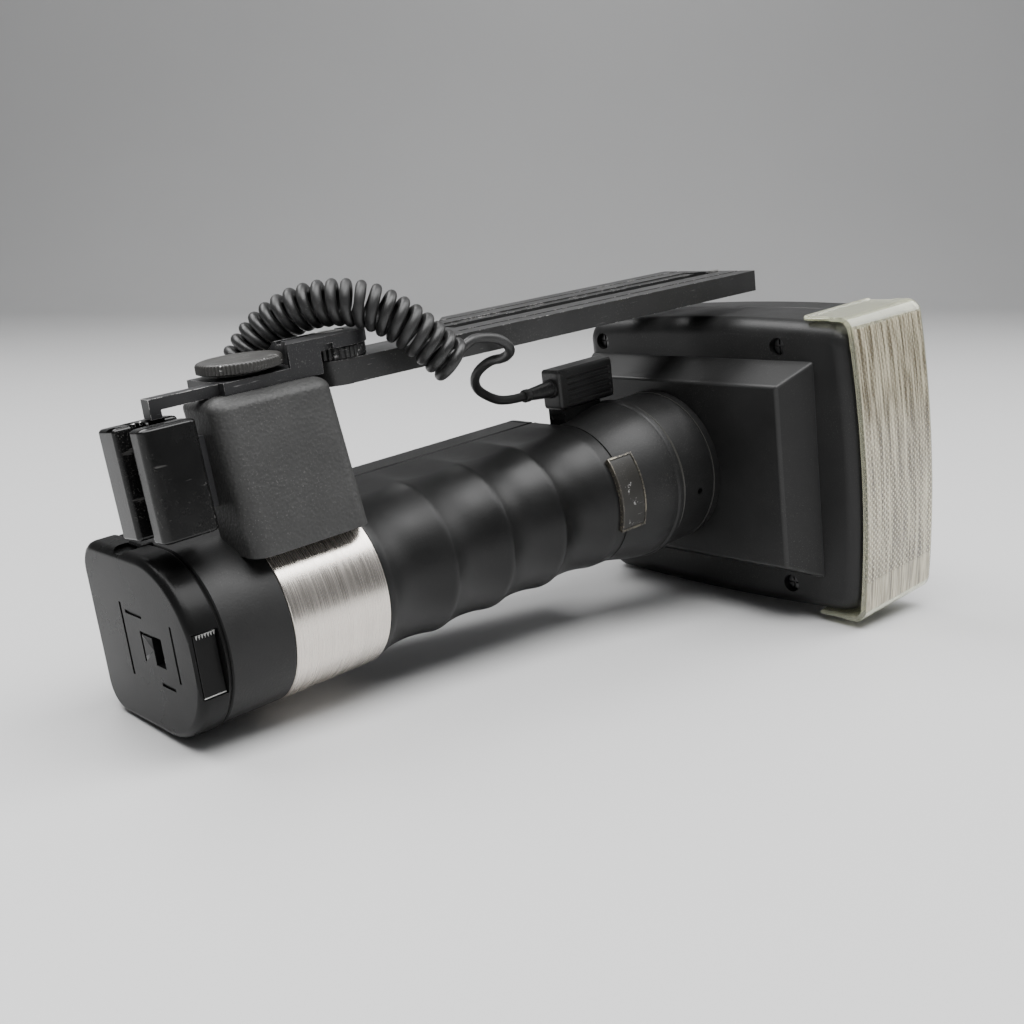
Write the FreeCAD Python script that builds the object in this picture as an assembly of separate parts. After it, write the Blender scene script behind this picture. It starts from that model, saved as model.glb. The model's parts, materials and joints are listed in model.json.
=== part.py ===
import FreeCAD, Part
import math
import os

# Hammerhead flash lying on its side: handle with a battery drawer, swivel head, clamp bracket and cord.
# The pieces are modelled along the handle: X from the drawer's end cap to the head, Y towards the
# back of the flash, Z towards the bracket. At the end all are tilted so that the flash lies on the
# rim of its end cap and on the lower lip of its diffuser. Lengths are millimetres, angles degrees.

V = FreeCAD.Vector

# Handle
handleRadius = 23.8
handleBack = 33.0
backCorner = 8.0
wall = 2.4
fit = 0.3
capLength = 9.0
capProud = 0.5
capChamfer = 1.2
bandStart = 27.3
bandLength = 29.7
bandThickness = 0.6
gripLength = 93.5
gripInset = 0.6
panelSeam = 16.0
seamGap = 0.4
grooveCount = 4
groovePitch = 21.1
grooveFirst = 70.6
grooveDepth = 2.8
grooveSide = 0.9
grooveSweep = 22.0
neckLength = 22.7
neckRadius = 26.9
lipLength = 2.2
lipChamfer = 0.8
plateStart = 146.6
plateLength = 10.6
plateThickness = 1.5
plateTop = 37.0
plateBottom = -20.0

# Swivel between the handle and the head
collarLength = 18.2
collarRadius = 25.9
collarWall = 6.0
spigotRadius = 15.0
spigotBore = 11.5
runningGap = 0.05
faceGap = 0.4
ringThickness = 1.6
ringRadius = 17.5
collarHole = 1.1

# Head
platformHeight = 12.1
platformFront = -50.5
platformBack = 34.0
platformHalf = 29.7
platformDraft = 6.1
headLength = 40.4
headFront = -71.0
headBack = 42.3
headHalf = 48.6
frontCrown = 3.0
sideCrown = 1.8
headCorner = 7.0
headEdge = 5.5
headWall = 2.6
headSeam = 24.0
windowLength = 31.0
windowMargin = 8.5
windowThickness = 2.0
windowInset = 1.6
screwInset = 8.8
screwFront = -42.8
screwBack = 34.0
screwHead = 2.8
screwShank = 1.5
screwLength = 29.0

# Diffuser that clips over the window
diffuserWall = 1.3
diffuserFace = 1.8
diffuserGap = 0.2
diffuserSide = 6.0
diffuserStep = 1.0
clipLength = 11.0
clipWidth = 36.0

# Light source and electronics in the head
reflectorWall = 0.8
reflectorDepth = 16.0
reflectorThroat = 9.0
tubeRadius = 2.6
tubeMargin = 7.0
tubeCapRadius = 3.2
holderWidth = 12.0
holderDepth = 10.0
holderLength = 4.5
holderSeat = 1.5
capacitorRadius = 14.5
capacitorLength = 66.0
boardThickness = 1.6
boardInset = 4.0
railDepth = 3.0
transformerLength = 18.0
transformerWidth = 16.0
transformerHeight = 5.0
canRadius = 5.0
canHeight = 7.0
driverLength = 12.0
driverWidth = 10.0
driverHeight = 4.0
headBoardWidth = 60.0
headBoardLength = 24.0
coilBlock = 9.0
coilBlockWidth = 12.0
coilBlockHeight = 5.0
lampToBoard = 13.0
boardLift = 4.0
boardGap = 2.7
chipLength = 5.0
chipWidth = 7.0
chipHeight = 3.0
chipPlace = 20.5
postWidth = 6.0
postPlace = 24.0
cradleDepth = 20.0
cradleWidth = 5.0
pinLength = 4.5
pinRadius = 0.8
pinPlace = 5.0

# Control panel on the back of the head
panelThickness = 3.0
panelHalf = 38.0
panelLength = 30.0
dialRadius = 11.0
dialHeight = 4.5
dialHub = 3.0
scaleRadius = 11.5
scaleHeight = 2.4
switchLength = 9.0
switchWidth = 5.0
switchHeight = 2.6
switchTravel = 5.0
buttonRadius = 3.4
buttonInset = 19.6
buttonTravel = 1.2
buttonProud = 1.0
lampRadius = 2.2
lampStep = 9.0

# Battery drawer
drawerGap = 0.5
cellRadius = 7.1
cellLength = 49.5
cellNub = 2.75
nubLength = 1.0
cellGap = 0.3
discRadius = 17.6
discThickness = 2.4
spineRadius = 1.1
contactThickness = 0.5
latchWidth = 17.0
latchLength = 7.0
latchDepth = 3.4
latchTooth = 1.6
latchToothCount = 5
latchTravel = 1.5
latchOffset = -0.5

# Clamp on the handle
boxStart = 22.0
boxLength = 35.2
boxDepth = 20.0
boxFootFront = -21.6
boxLean = 8.6
boxFoot = 20.0
boxTop = 59.0
boxCorner = 4.5
boxBore = 9.0
nutHeight = 7.0
nutTopGap = 6.0
footHalf = 9.5
footCentre = 0.5
footStart = 28.0
footThickness = 3.2
stepStart = 47.5
tongueTop = 68.3
tongueBack = 5.0
tongueBevel = 2.2
knobPlace = 38.5
knobRadius = 11.2
knobHeight = 3.0
knobBoss = 6.5
knobLift = 0.9
knobGap = 0.3
knobTeeth = 60
knobTooth = 0.35
studRadius = 3.0
hookLength = 19.0
hookWidth = 4.0
hookHeight = 3.0
hookDrop = 2.3
hookCentre = -4.3
hookTip = 3.0

# Camera rail
railPivot = 67.0
railSwing = -4.0
railLength = 159.8
railWidth = 43.0
railThickness = 6.7
railTop = 61.2
railNear = 8.5
railNeck = 38.0
railShoulder = 22.0
railSlotWidth = 6.6
railSlotStart = 47.0
railSlotEnd = 154.3
railGroove = 0.7
railGrooveWidth = 1.4
railGrooveInset = 7.0
hubRadius = 9.0
hubTeeth = 40
hubTooth = 0.4
hubGap = 0.2
pivotRadius = 3.0
pivotHead = 3.9
pivotHeadHeight = 1.2
pivotNut = 5.5
pivotNutHeight = 1.4
stopRadius = 1.8
stopInset = 3.5
stopSide = 6.0
stopSunk = 3.0
stopHeight = 0.8

# Shoe adapter kept beside the clamp
adapterEnd = 16.0
adapterRearLength = 17.0
adapterFrontLength = 15.0
adapterFoot = 29.4
adapterTop = 57.0
adapterRearFront = -6.0
adapterRearBack = 3.0
adapterFrontFace = -16.0
adapterSlot = 2.5
adapterEdge = 1.2
adapterLean = -4.5
webLength = 9.0
webHeight = 20.0

# Cord and plug
cordDiameter = 2.3
curlRadius = 5.0
curlPitch = 3.5
curlStart = -0.02
curlEnd = 0.33
plugStart = 152.5
plugLength = 25.0
plugFront = 4.5
plugBack = 13.0
plugFoot = 27.2
plugTop = 40.2
plugRib = 0.5
plugRibCount = 6
reliefLength = 12.0
reliefRadius = 2.4
reliefTip = 1.55
socketWall = 1.5
adapterReliefLength = 8.0
adapterReliefX = 8.0
adapterReliefZ = 44.0

# Axis of the curly part, from behind the clamp over the tongue to the front of the rail
coilRoute = [(44.6, 23.0, 44.6), (46.2, 22.8, 51.8), (48.8, 21.0, 59.1), (52.4, 17.2, 66.0),
             (57.2, 11.7, 72.1), (62.8, 4.0, 75.9), (68.8, -3.4, 76.2), (74.4, -9.4, 74.0),
             (79.8, -14.2, 69.3), (84.5, -17.6, 63.7), (88.5, -20.0, 58.6), (91.0, -21.0, 55.5)]
# Lead from the last curl round under the rail to the strain relief of the plug
plugRoute = [(103.5, -17.2, 60.2), (110.5, -18.0, 58.9), (115.8, -17.0, 54.8), (117.4, -11.5, 51.6),
             (117.4, -4.5, 50.8), (115.8, 1.2, 46.8), (118.4, 5.2, 41.8), (124.8, 7.6, 37.6)]
# Lead from the first curl to the strain relief of the adapter
adapterRoute = [(27.0, 24.6, 47.0), (16.0, 27.0, 45.0)]

# Places worked out from the sizes above
bandEnd = bandStart + bandLength
gripEnd = bandEnd + gripLength
lipPlace = gripEnd + neckLength
collarStart = lipPlace + faceGap
collarEnd = lipPlace + collarLength + faceGap
headBase = collarEnd + platformHeight
headTop = headBase + headLength
gripRadius = handleRadius - gripInset
windowHalf = headHalf - windowMargin
tubeHalf = windowHalf - tubeMargin
cellRing = 2 * (cellRadius + cellGap / 2) / math.sqrt(3)
bayBack = panelSeam - wall
boardPlace = handleBack - wall - boardInset


def cylinder(radius, length, place, axis=V(0, 0, 1)):
    return Part.makeCylinder(radius, length, V(*place), axis)


def along_x(radius, start, end, y=0.0, z=0.0):
    return cylinder(radius, end - start, (start, y, z), V(1, 0, 0))


def along_y(radius, start, end, x, z):
    return cylinder(radius, end - start, (x, start, z), V(0, 1, 0))


def block(low, high):
    return Part.makeBox(high[0] - low[0], high[1] - low[1], high[2] - low[2], V(*low))


def edges_along(shape, axis):
    """Straight edges of a shape that run along one axis."""
    found = []
    for edge in shape.Edges:
        if isinstance(edge.Curve, (Part.Line, Part.LineSegment)):
            if abs(abs(edge.tangentAt(edge.FirstParameter).dot(axis)) - 1) < 1e-6:
                found.append(edge)
    return found


def rounded_block(low, high, radius, axis=V(0, 0, 1)):
    body = block(low, high)
    return body.makeFillet(radius, edges_along(body, axis))


def soft_block(low, high, radius):
    body = block(low, high)
    return body.makeFillet(radius, body.Edges)


def handle_section(radius, back, corner, x, length):
    """Round front, flat top and bottom, and a flat back with rounded corners."""
    top, low = V(x, 0, radius), V(x, 0, -radius)
    front = Part.Arc(top, V(x, -radius, 0), low).toShape()
    path = [low, V(x, back, -radius), V(x, back, radius), top]
    lines = [Part.LineSegment(a, b).toShape() for a, b in zip(path, path[1:])]
    body = Part.Face(Part.Wire([front] + lines)).extrude(V(length, 0, 0))
    corners = [e for e in edges_along(body, V(1, 0, 0)) if e.CenterOfMass.y > back - 0.01]
    return body.makeFillet(corner, corners)


def inset_section(inset, start, end):
    return handle_section(handleRadius - inset, handleBack - inset, backCorner - inset, start,
                          end - start)


def lower_sleeve():
    sleeve = inset_section(0, capLength, bandStart)
    sleeve = sleeve.fuse(inset_section(bandThickness, bandStart, bandEnd))
    return sleeve.cut(inset_section(wall + bandThickness, capLength, bandEnd)).removeSplitter()


def clamp_band():
    band = inset_section(0, bandStart, bandEnd)
    band = band.cut(inset_section(bandThickness, bandStart, bandEnd))
    gap_start = boxFootFront + boxDepth / 2
    return band.cut(block((bandStart, gap_start, 0), (bandEnd, gap_start + 4 * bandThickness,
                                                     handleRadius)))


def groove_cutter(index):
    """One finger's groove, deepest at the front and fading out along the flat top and bottom."""
    x = grooveFirst + index * groovePitch
    deep, side = gripRadius - grooveDepth, gripRadius - grooveSide
    shift = (side ** 2 - deep ** 2) / (2 * deep)
    ring = deep + shift + grooveSweep
    front = block((x - 20, -2 * gripRadius, -2 * gripRadius), (x + 20, 0, 2 * gripRadius))
    cutter = Part.makeTorus(ring, grooveSweep, V(x, shift, 0), V(1, 0, 0)).common(front)
    for way in (-1, 1):
        rise = V(0, panelSeam, way * grooveSide)
        start = V(x, 0, way * (side + grooveSweep))
        fade = Part.makeCylinder(grooveSweep, rise.Length, start, rise)
        cutter = cutter.fuse(fade)
    return cutter


def grip_tube():
    inset = gripInset
    tube = inset_section(inset, bandEnd, gripEnd)
    return tube, inset_section(inset + wall, bandEnd, gripEnd)


def grip_shell():
    tube, bore = grip_tube()
    for index in range(grooveCount):
        tube = tube.cut(groove_cutter(index))
    keep = block((bandEnd, -handleRadius, -handleRadius), (gripEnd, panelSeam, handleRadius))
    inner = handle_section(gripRadius - grooveDepth - wall, handleBack, backCorner, bandEnd,
                           gripLength)
    return tube.common(keep).cut(inner.common(bore))


def rear_panel():
    tube, bore = grip_tube()
    keep = block((bandEnd, panelSeam + seamGap, -handleRadius), (gripEnd, handleBack, handleRadius))
    closing = block((gripEnd - wall, panelSeam + seamGap, -gripRadius + wall),
                    (gripEnd, handleBack - wall, gripRadius - wall))
    return tube.cut(bore).common(keep).fuse(closing).removeSplitter()


def neck_profile(offset):
    """Half outline of the flared neck, from the grip to the lip."""
    start, end = gripEnd, lipPlace
    middle = (start + end) / 2
    points = [V(start, gripRadius - offset, 0), V(middle - 3, gripRadius + 0.9 - offset, 0),
              V(end - lipLength - 3, neckRadius - 0.4 - offset, 0)]
    curve = Part.Arc(*points).toShape()
    last = points[-1]
    corner = V(end - lipChamfer, neckRadius - offset, 0)
    return curve, last, corner


def neck_shell():
    curve, last, corner = neck_profile(0)
    lip = V(lipPlace, neckRadius - lipChamfer, 0)
    inner = neckRadius - 3 * wall
    path = [last, corner, lip, V(lipPlace, inner, 0), V(gripEnd, gripRadius - 2 * wall, 0),
            V(gripEnd, gripRadius, 0)]
    lines = [Part.LineSegment(a, b).toShape() for a, b in zip(path, path[1:])]
    face = Part.Face(Part.Wire([curve] + lines))
    shell = face.revolve(V(0, 0, 0), V(1, 0, 0), 360)
    return shell.cut(socket_block(0))


def name_plate():
    """Bare curved plate on the front of the neck's throat."""
    outer = along_x(gripRadius + plateThickness, plateStart, plateStart + plateLength)
    inner = along_x(gripRadius, plateStart, plateStart + plateLength)
    reach = 2 * handleRadius
    high, low = math.radians(plateTop), math.radians(plateBottom)
    wedge = Part.Face(Part.makePolygon([
        V(plateStart, 0, 0), V(plateStart, -reach * math.cos(high), reach * math.sin(high)),
        V(plateStart, -reach * math.cos(low), reach * math.sin(low)), V(plateStart, 0, 0)]))
    return outer.cut(inner).common(wedge.extrude(V(plateLength, 0, 0))).cut(neck_shell())


def spigot():
    tube = along_x(spigotRadius, gripEnd + wall, collarEnd + ringThickness + 3)
    flange = along_x(gripRadius - 2 * wall - fit, gripEnd + wall, gripEnd + 2 * wall)
    bore = along_x(spigotBore, gripEnd, collarEnd + 8)
    return tube.fuse(flange).cut(bore).removeSplitter()


def spigot_ring():
    ring = along_x(ringRadius, collarEnd + fit, collarEnd + fit + ringThickness)
    return ring.cut(along_x(spigotRadius, collarEnd, collarEnd + 8))


def swivel_collar():
    body = along_x(collarRadius, collarStart, collarEnd)
    body = body.makeChamfer(0.6, [e for e in body.Edges if e.CenterOfMass.x < collarStart + 0.01
                                  and e.Length > 100])
    hollow = along_x(collarRadius - collarWall, collarStart + wall, collarEnd - wall)
    bush = along_x(spigotRadius + runningGap, collarStart, collarEnd)
    hole = cylinder(collarHole, collarWall + 2, (collarStart + 8, -collarRadius - 1, -3.9), V(0, 1, 0))
    return body.cut(hollow).cut(bush).cut(hole)


def head_outline(x, length, inset):
    """Crowned four-sided body of the head: each side is a shallow arc."""
    front, back, half = headFront + inset, headBack - inset, headHalf - inset
    middle = (front + back) / 2
    end = half - sideCrown
    corner_y = front + frontCrown
    corners = [V(x, corner_y, -end), V(x, back, -end), V(x, back, end), V(x, corner_y, end)]
    sides = [Part.Arc(corners[0], V(x, middle, -half), corners[1]),
             Part.LineSegment(corners[1], corners[2]),
             Part.Arc(corners[2], V(x, middle, half), corners[3]),
             Part.Arc(corners[3], V(x, front, 0), corners[0])]
    body = Part.Face(Part.Wire([s.toShape() for s in sides])).extrude(V(length, 0, 0))
    return body.makeFillet(headCorner - inset, edges_along(body, V(1, 0, 0)))


def end_edges(body, x):
    return [e for e in body.Edges if abs(e.CenterOfMass.x - x) < 0.01]


def head_side(y):
    """Half width of the crowned head at y: its side is an arc through three points."""
    corner_y, end = headFront + frontCrown, headHalf - sideCrown
    chord, middle = (corner_y + headBack) / 2, (headFront + headBack) / 2
    reach, shift = headBack - chord, middle - chord
    centre = (shift ** 2 + headHalf ** 2 - reach ** 2 - end ** 2) / (2 * sideCrown)
    return centre + math.sqrt(reach ** 2 + (end - centre) ** 2 - (y - chord) ** 2)


def head_body():
    outer = head_outline(headBase, headLength, 0)
    outer = outer.makeFillet(headEdge, end_edges(outer, headBase) + end_edges(outer, headTop))
    inner = head_outline(headBase + headWall, headLength - 2 * headWall, headWall)
    return outer, inner


def platform(inset):
    """Raised truncated pyramid on the head's underside."""
    near, far = collarEnd + inset, headBase + headWall
    narrow = [(platformFront + inset, -platformHalf + inset), (platformBack - inset, -platformHalf + inset),
              (platformBack - inset, platformHalf - inset), (platformFront + inset, platformHalf - inset)]
    wide = [(y + math.copysign(platformDraft, y), z + math.copysign(platformDraft, z))
            for y, z in narrow]
    loops = []
    for x, ring in ((near, narrow), (far, wide)):
        points = [V(x, y, z) for y, z in ring]
        loops.append(Part.makePolygon(points + points[:1]))
    return Part.makeLoft(loops, True, True)


def window_hole():
    low = headBase + (headLength - windowLength) / 2
    return block((low, headFront - 1, -windowHalf), (low + windowLength, headFront + 12, windowHalf))


def screw_places():
    return [(y, side * (headHalf - screwInset)) for y in (screwFront, screwBack) for side in (-1, 1)]


def screw_holes():
    cutter = None
    for y, z in screw_places():
        hole = along_x(screwHead + 0.2, headBase - 1, headBase + 3.2, y, z)
        hole = hole.fuse(along_x(screwShank + 0.2, headBase, headBase + headSeam + 9, y, z))
        cutter = hole if cutter is None else cutter.fuse(hole)
    return cutter


def screw_bosses(start, end):
    return [along_x(screwHead + 1.6, start, end, y, z) for y, z in screw_places()]


def head_base():
    outer, inner = head_body()
    split = headBase + headSeam
    shell = outer.cut(inner).common(block((headBase, headFront, -headHalf),
                                          (split, headBack, headHalf)))
    raised = platform(0).cut(platform(headWall))
    through = block((headBase - 1, platformFront + headWall, -platformHalf + headWall),
                    (headBase + headWall + 1, platformBack - headWall, platformHalf - headWall))
    shell = shell.cut(through).fuse(raised.common(block((collarEnd, headFront, -headHalf),
                                                        (headBase + headWall, headBack, headHalf))))
    for boss in screw_bosses(headBase + headWall, split):
        shell = shell.fuse(boss.common(outer))
    opening = along_x(spigotRadius + 3.5, collarEnd - 1, collarEnd + 6)
    shell = shell.cut(opening).cut(window_hole()).cut(screw_holes()).cut(panel_seat())
    return shell.removeSplitter()


def head_cover():
    outer, inner = head_body()
    split = headBase + headSeam
    shell = outer.cut(inner).common(block((split, headFront, -headHalf),
                                          (headTop, headBack, headHalf)))
    for boss in screw_bosses(split, headTop - headWall):
        shell = shell.fuse(boss.common(outer))
    return shell.cut(window_hole()).cut(screw_holes()).cut(panel_seat()).removeSplitter()


def head_screws():
    screws = []
    for y, z in screw_places():
        start = headBase + 3.2 - 2.0
        head = along_x(screwHead, start, start + 2.0, y, z)
        shank = along_x(screwShank, start, start + screwLength, y, z)
        slot = block((start - 1, y - 2, z - 0.3), (start + 0.7, y + 2, z + 0.3))
        screws.append(head.fuse(shank).cut(slot).removeSplitter())
    return Part.makeCompound(screws)


def window_pane():
    low = headBase + (headLength - windowLength) / 2
    place = headFront + frontCrown + windowInset
    pane = block((low + fit, place, -windowHalf + fit),
                 (low + windowLength - fit, place + windowThickness, windowHalf - fit))
    for index in range(1, 8):
        x = low + index * windowLength / 8
        pane = pane.cut(block((x - 0.4, place - 1, -windowHalf + 4), (x + 0.4, place + 0.5,
                                                                       windowHalf - 4)))
    return pane


def reflector():
    """Trough that opens towards the window, with a flat back behind the lamp."""
    low = headBase + (headLength - windowLength) / 2 + 1
    high = low + windowLength - 2
    front = headFront + frontCrown + windowInset + windowThickness + fit
    back = front + reflectorDepth
    middle = (low + high) / 2
    half = reflectorThroat / 2

    def trough(offset, start):
        points = [V(low + offset, start, 0), V(middle - half + offset, back - offset, 0),
                  V(middle + half - offset, back - offset, 0), V(high - offset, start, 0)]
        face = Part.Face(Part.makePolygon(points + points[:1]))
        width = windowHalf - 2 - offset
        return face.extrude(V(0, 0, 2 * width)).translated(V(0, 0, -width))

    body = trough(0, front).cut(trough(reflectorWall, front - 0.1))
    hole = cylinder(tubeCapRadius + 0.6, 2 * windowHalf, (middle, lamp_place()[1], -windowHalf))
    return body.cut(hole)


def lamp_place():
    x = headBase + headLength / 2
    y = headFront + frontCrown + windowInset + windowThickness + fit + reflectorDepth
    return x, y - reflectorWall - tubeCapRadius - 1.5


def flash_tube():
    x, y = lamp_place()
    return cylinder(tubeRadius, 2 * tubeHalf, (x, y, -tubeHalf))


def tube_ends():
    x, y = lamp_place()
    reach = windowHalf + holderSeat - tubeHalf
    low = cylinder(tubeCapRadius, reach, (x, y, -tubeHalf - reach))
    high = cylinder(tubeCapRadius, reach, (x, y, tubeHalf))
    return Part.makeCompound([low, high])


def lamp_holders():
    x, y = lamp_place()
    holders = []
    for side in (-1, 1):
        near, far = side * (windowHalf - holderSeat), side * (windowHalf - holderSeat + holderLength)
        body = block((x - holderWidth / 2, y - holderDepth / 2, min(near, far)),
                     (x + holderWidth / 2, y + holderDepth / 2, max(near, far)))
        holders.append(body.cut(cylinder(tubeCapRadius, 4 * windowHalf, (x, y, -2 * windowHalf))))
    return Part.makeCompound(holders)


def capacitor_place():
    _, y = lamp_place()
    return (headBase + headLength / 2 + 1.0,
            y + lampToBoard + boardThickness + chipHeight + capacitorRadius + boardGap)


def main_capacitor():
    x, y = capacitor_place()
    body = cylinder(capacitorRadius, capacitorLength, (x, y, -capacitorLength / 2))
    rims = [e for e in body.Edges if e.Length > 4 * capacitorRadius]
    body = body.makeFillet(1.2, rims)
    pins = [cylinder(pinRadius, pinLength + 0.5, (x + side * pinPlace, y, capacitorLength / 2 - 0.5))
            for side in (-1, 1)]
    return body.fuse(pins).removeSplitter()


def capacitor_cradle():
    x, y = capacitor_place()
    bars = []
    for side in (-1, 1):
        z = side * capacitorLength / 4 - cradleWidth / 2
        bar = block((headBase + headWall, y - cradleDepth / 2, z), (x, y + cradleDepth / 2,
                                                                    z + cradleWidth))
        bars.append(bar.cut(cylinder(capacitorRadius, capacitorLength, (x, y, -capacitorLength / 2))))
    return Part.makeCompound(bars)


def head_board():
    _, y = lamp_place()
    low = headBase + headWall + boardLift
    back = y + lampToBoard
    board = block((low, back, -headBoardWidth / 2), (low + headBoardLength, back + boardThickness,
                                                     headBoardWidth / 2))
    top = back + boardThickness
    parts = [block((low + 3, top, side * chipPlace - chipWidth / 2),
                   (low + 3 + chipLength, top + chipHeight, side * chipPlace + chipWidth / 2))
             for side in (-1, 1)]
    return board.fuse(parts).removeSplitter()


def board_posts():
    _, y = lamp_place()
    low = headBase + headWall
    back = y + lampToBoard
    return Part.makeCompound([block((low, back - 1, side * postPlace - postWidth / 2),
                                    (low + boardLift, back + 3, side * postPlace + postWidth / 2))
                              for side in (-1, 1)])


def trigger_coil():
    _, y = lamp_place()
    z = -headBoardWidth / 2 + 14
    back = y + lampToBoard + boardThickness
    low = headBase + headWall + 14
    return rounded_block((low, back, z), (low + coilBlock, back + coilBlockHeight,
                                          z + coilBlockWidth), 1.2)


def diffuser():
    """Clear cap over the front of the head with a clip on each side."""
    gap = diffuserGap
    half_in = head_side(clip_end()) + gap
    half_out = half_in + diffuserWall
    front_out, front_in = headFront - gap - diffuserFace, headFront - gap
    low, high = headBase + diffuserStep, headTop + diffuserWall + gap

    def crowned(front, half, start, end, depth):
        corners = [V(start, front + frontCrown, -half), V(start, front + depth, -half),
                   V(start, front + depth, half), V(start, front + frontCrown, half)]
        edges = [Part.LineSegment(corners[0], corners[1]), Part.LineSegment(corners[1], corners[2]),
                 Part.LineSegment(corners[2], corners[3]),
                 Part.Arc(corners[3], V(start, front, 0), corners[0])]
        return Part.Face(Part.Wire([e.toShape() for e in edges])).extrude(V(end - start, 0, 0))

    cap = crowned(front_out, half_out, low, high, diffuserSide + frontCrown + diffuserFace)
    fronts = [e for e in edges_along(cap, V(1, 0, 0)) if e.CenterOfMass.y < front_out + frontCrown + 1]
    cap = cap.makeFillet(4.0, fronts)
    room = crowned(front_in, half_in, low - 1, headTop + gap, 40)
    rooms = [e for e in edges_along(room, V(1, 0, 0)) if e.CenterOfMass.y < front_in + frontCrown + 1]
    cap = cap.cut(room.makeFillet(2.4, rooms))
    start = front_in + frontCrown + diffuserSide - 1
    for side in (-1, 1):
        near, far = side * half_in, side * half_out
        clip = rounded_block((low, start, min(near, far)), (low + clipWidth, clip_end(), max(near, far)),
                             2.0)
        cap = cap.fuse(clip)
    return cap.removeSplitter()


def clip_end():
    return headFront - diffuserGap + frontCrown + diffuserSide - 1 + clipLength


def panel_seat():
    low = headBase + (headLength - panelLength) / 2
    return block((low, headBack - headWall - 0.5, -panelHalf),
                 (low + panelLength, headBack + 1, panelHalf))


def panel_low():
    return headBase + (headLength - panelLength) / 2


def panel_face():
    return headBack - headWall + panelThickness


def control_panel():
    low = panel_low()
    plate = rounded_block((low, headBack - headWall, -panelHalf + fit),
                          (low + panelLength, panel_face(), panelHalf - fit), 2.0, V(0, 1, 0))
    for x, z, radius in ((dial_x(), dial_z(), dialHub + runningGap),
                         (dial_x(), button_z(), buttonRadius + fit),
                         (dial_x(), lamp_z(), lampRadius)):
        plate = plate.cut(along_y(radius, headBack - headWall - 1, panel_face() + 1, x, z))
    x, z = switch_place()
    slot = block((x - 1.2, headBack - 5, z - switchLength / 2 + 2),
                 (x + 1.2, headBack + 5, z + switchLength / 2 - 2 + switchTravel))
    return plate.cut(slot).removeSplitter()


def dial_x():
    return panel_low() + panelLength / 2


def dial_z():
    return panelHalf - dialRadius - 4


def scale_z():
    return 0.0


def lamp_z():
    return button_z() + lampStep


def button_z():
    return -headHalf + buttonInset


def switch_place():
    return panel_low() + 6.5, scale_z() - 22


def mode_dial():
    """Knurled selector on the head's back, with a hub through the panel."""
    x, z = dial_x(), dial_z()
    base = panel_face() + 0.2
    knob = along_y(dialRadius, base, base + dialHeight, x, z)
    for index in range(30):
        angle = 2 * math.pi * index / 30
        place = (x + dialRadius * math.cos(angle), base - 1, z + dialRadius * math.sin(angle))
        knob = knob.cut(cylinder(0.5, dialHeight + 2, place, V(0, 1, 0)))
    pointer = block((x, base + dialHeight - 0.5, z - 0.4), (x + dialRadius, base + dialHeight + 1,
                                                            z + 0.4))
    hub = along_y(dialHub, headBack - headWall - 3, base + 0.5, x, z)
    clip = along_y(dialHub + 1.5, headBack - headWall - 2.5, headBack - headWall - 1.0, x, z)
    return knob.cut(pointer).fuse([hub, clip]).removeSplitter()


def scale_disc():
    """Fixed exposure scale beside the selector."""
    x, z = dial_x(), scale_z()
    body = along_y(scaleRadius, panel_face(), panel_face() + scaleHeight, x, z)
    return body.makeChamfer(0.6, [e for e in body.Edges if e.CenterOfMass.y > panel_face() + 1
                                  and e.Length > 30])


def power_switch():
    x, z = switch_place()
    base = panel_face() + 0.2
    cap = rounded_block((x - switchWidth / 2, base, z - switchLength / 2),
                        (x + switchWidth / 2, base + switchHeight, z + switchLength / 2), 0.8,
                        V(0, 1, 0))
    stem = block((x - 1.0, headBack - headWall - 2, z - 1.5), (x + 1.0, base + 0.5, z + 1.5))
    stop = block((x - 2.2, headBack - headWall - 3.2, z - 1.5),
                 (x + 2.2, headBack - headWall - 1.2, z + 1.5))
    return cap.fuse([stem, stop]).removeSplitter()


def test_button():
    x, z = dial_x(), button_z()
    face = panel_face()
    cap = along_y(buttonRadius, headBack - headWall - 1.5, face + buttonTravel + buttonProud, x, z)
    flange = along_y(buttonRadius + 1.2, headBack - headWall - 3, headBack - headWall - fit, x, z)
    return cap.fuse(flange).removeSplitter()


def ready_lamp():
    x, z = dial_x(), lamp_z()
    stem = along_y(lampRadius, headBack - headWall - 2, panel_face() + 0.4, x, z)
    dome = Part.makeSphere(lampRadius, V(x, panel_face() + 0.4, z))
    return stem.fuse(dome).removeSplitter()


def cell_places():
    """Three cells side by side round the spine, in two layers."""
    first = capLength + discThickness + 1.5
    places = []
    for layer in range(2):
        start = first + layer * (cellLength + nubLength + contactThickness + discThickness + 1.5)
        for index in range(3):
            angle = math.radians(90 + 120 * index)
            places.append((start, cellRing * math.cos(angle), cellRing * math.sin(angle)))
    return places


def battery_cells():
    cells = []
    for x, y, z in cell_places():
        can = along_x(cellRadius, x, x + cellLength, y, z)
        can = can.makeFillet(0.6, [e for e in can.Edges if e.Length > 5 * cellRadius])
        cells.append(can.fuse(along_x(cellNub, x + cellLength, x + cellLength + nubLength, y, z)))
    return Part.makeCompound([c.removeSplitter() for c in cells])


def basket_discs():
    first = cell_places()[0][0]
    second = cell_places()[3][0]
    step = second - first
    return [first - 1.5 - discThickness, second - 1.5 - discThickness,
            second + step - 1.5 - discThickness]


def basket_frame():
    """Spine and three discs that hold the cells."""
    discs = basket_discs()
    frame = along_x(spineRadius, discs[0], discs[-1] + discThickness)
    for x in discs:
        frame = frame.fuse(along_x(discRadius, x, x + discThickness))
    reach = cellRing + cellRadius
    for index in range(3):
        angle = math.radians(30 + 120 * index)
        y, z = math.cos(angle), math.sin(angle)
        rod = along_x(1.8, discs[0], discs[-1] + discThickness, y * reach, z * reach)
        frame = frame.fuse(rod)
    return frame.removeSplitter()


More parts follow.
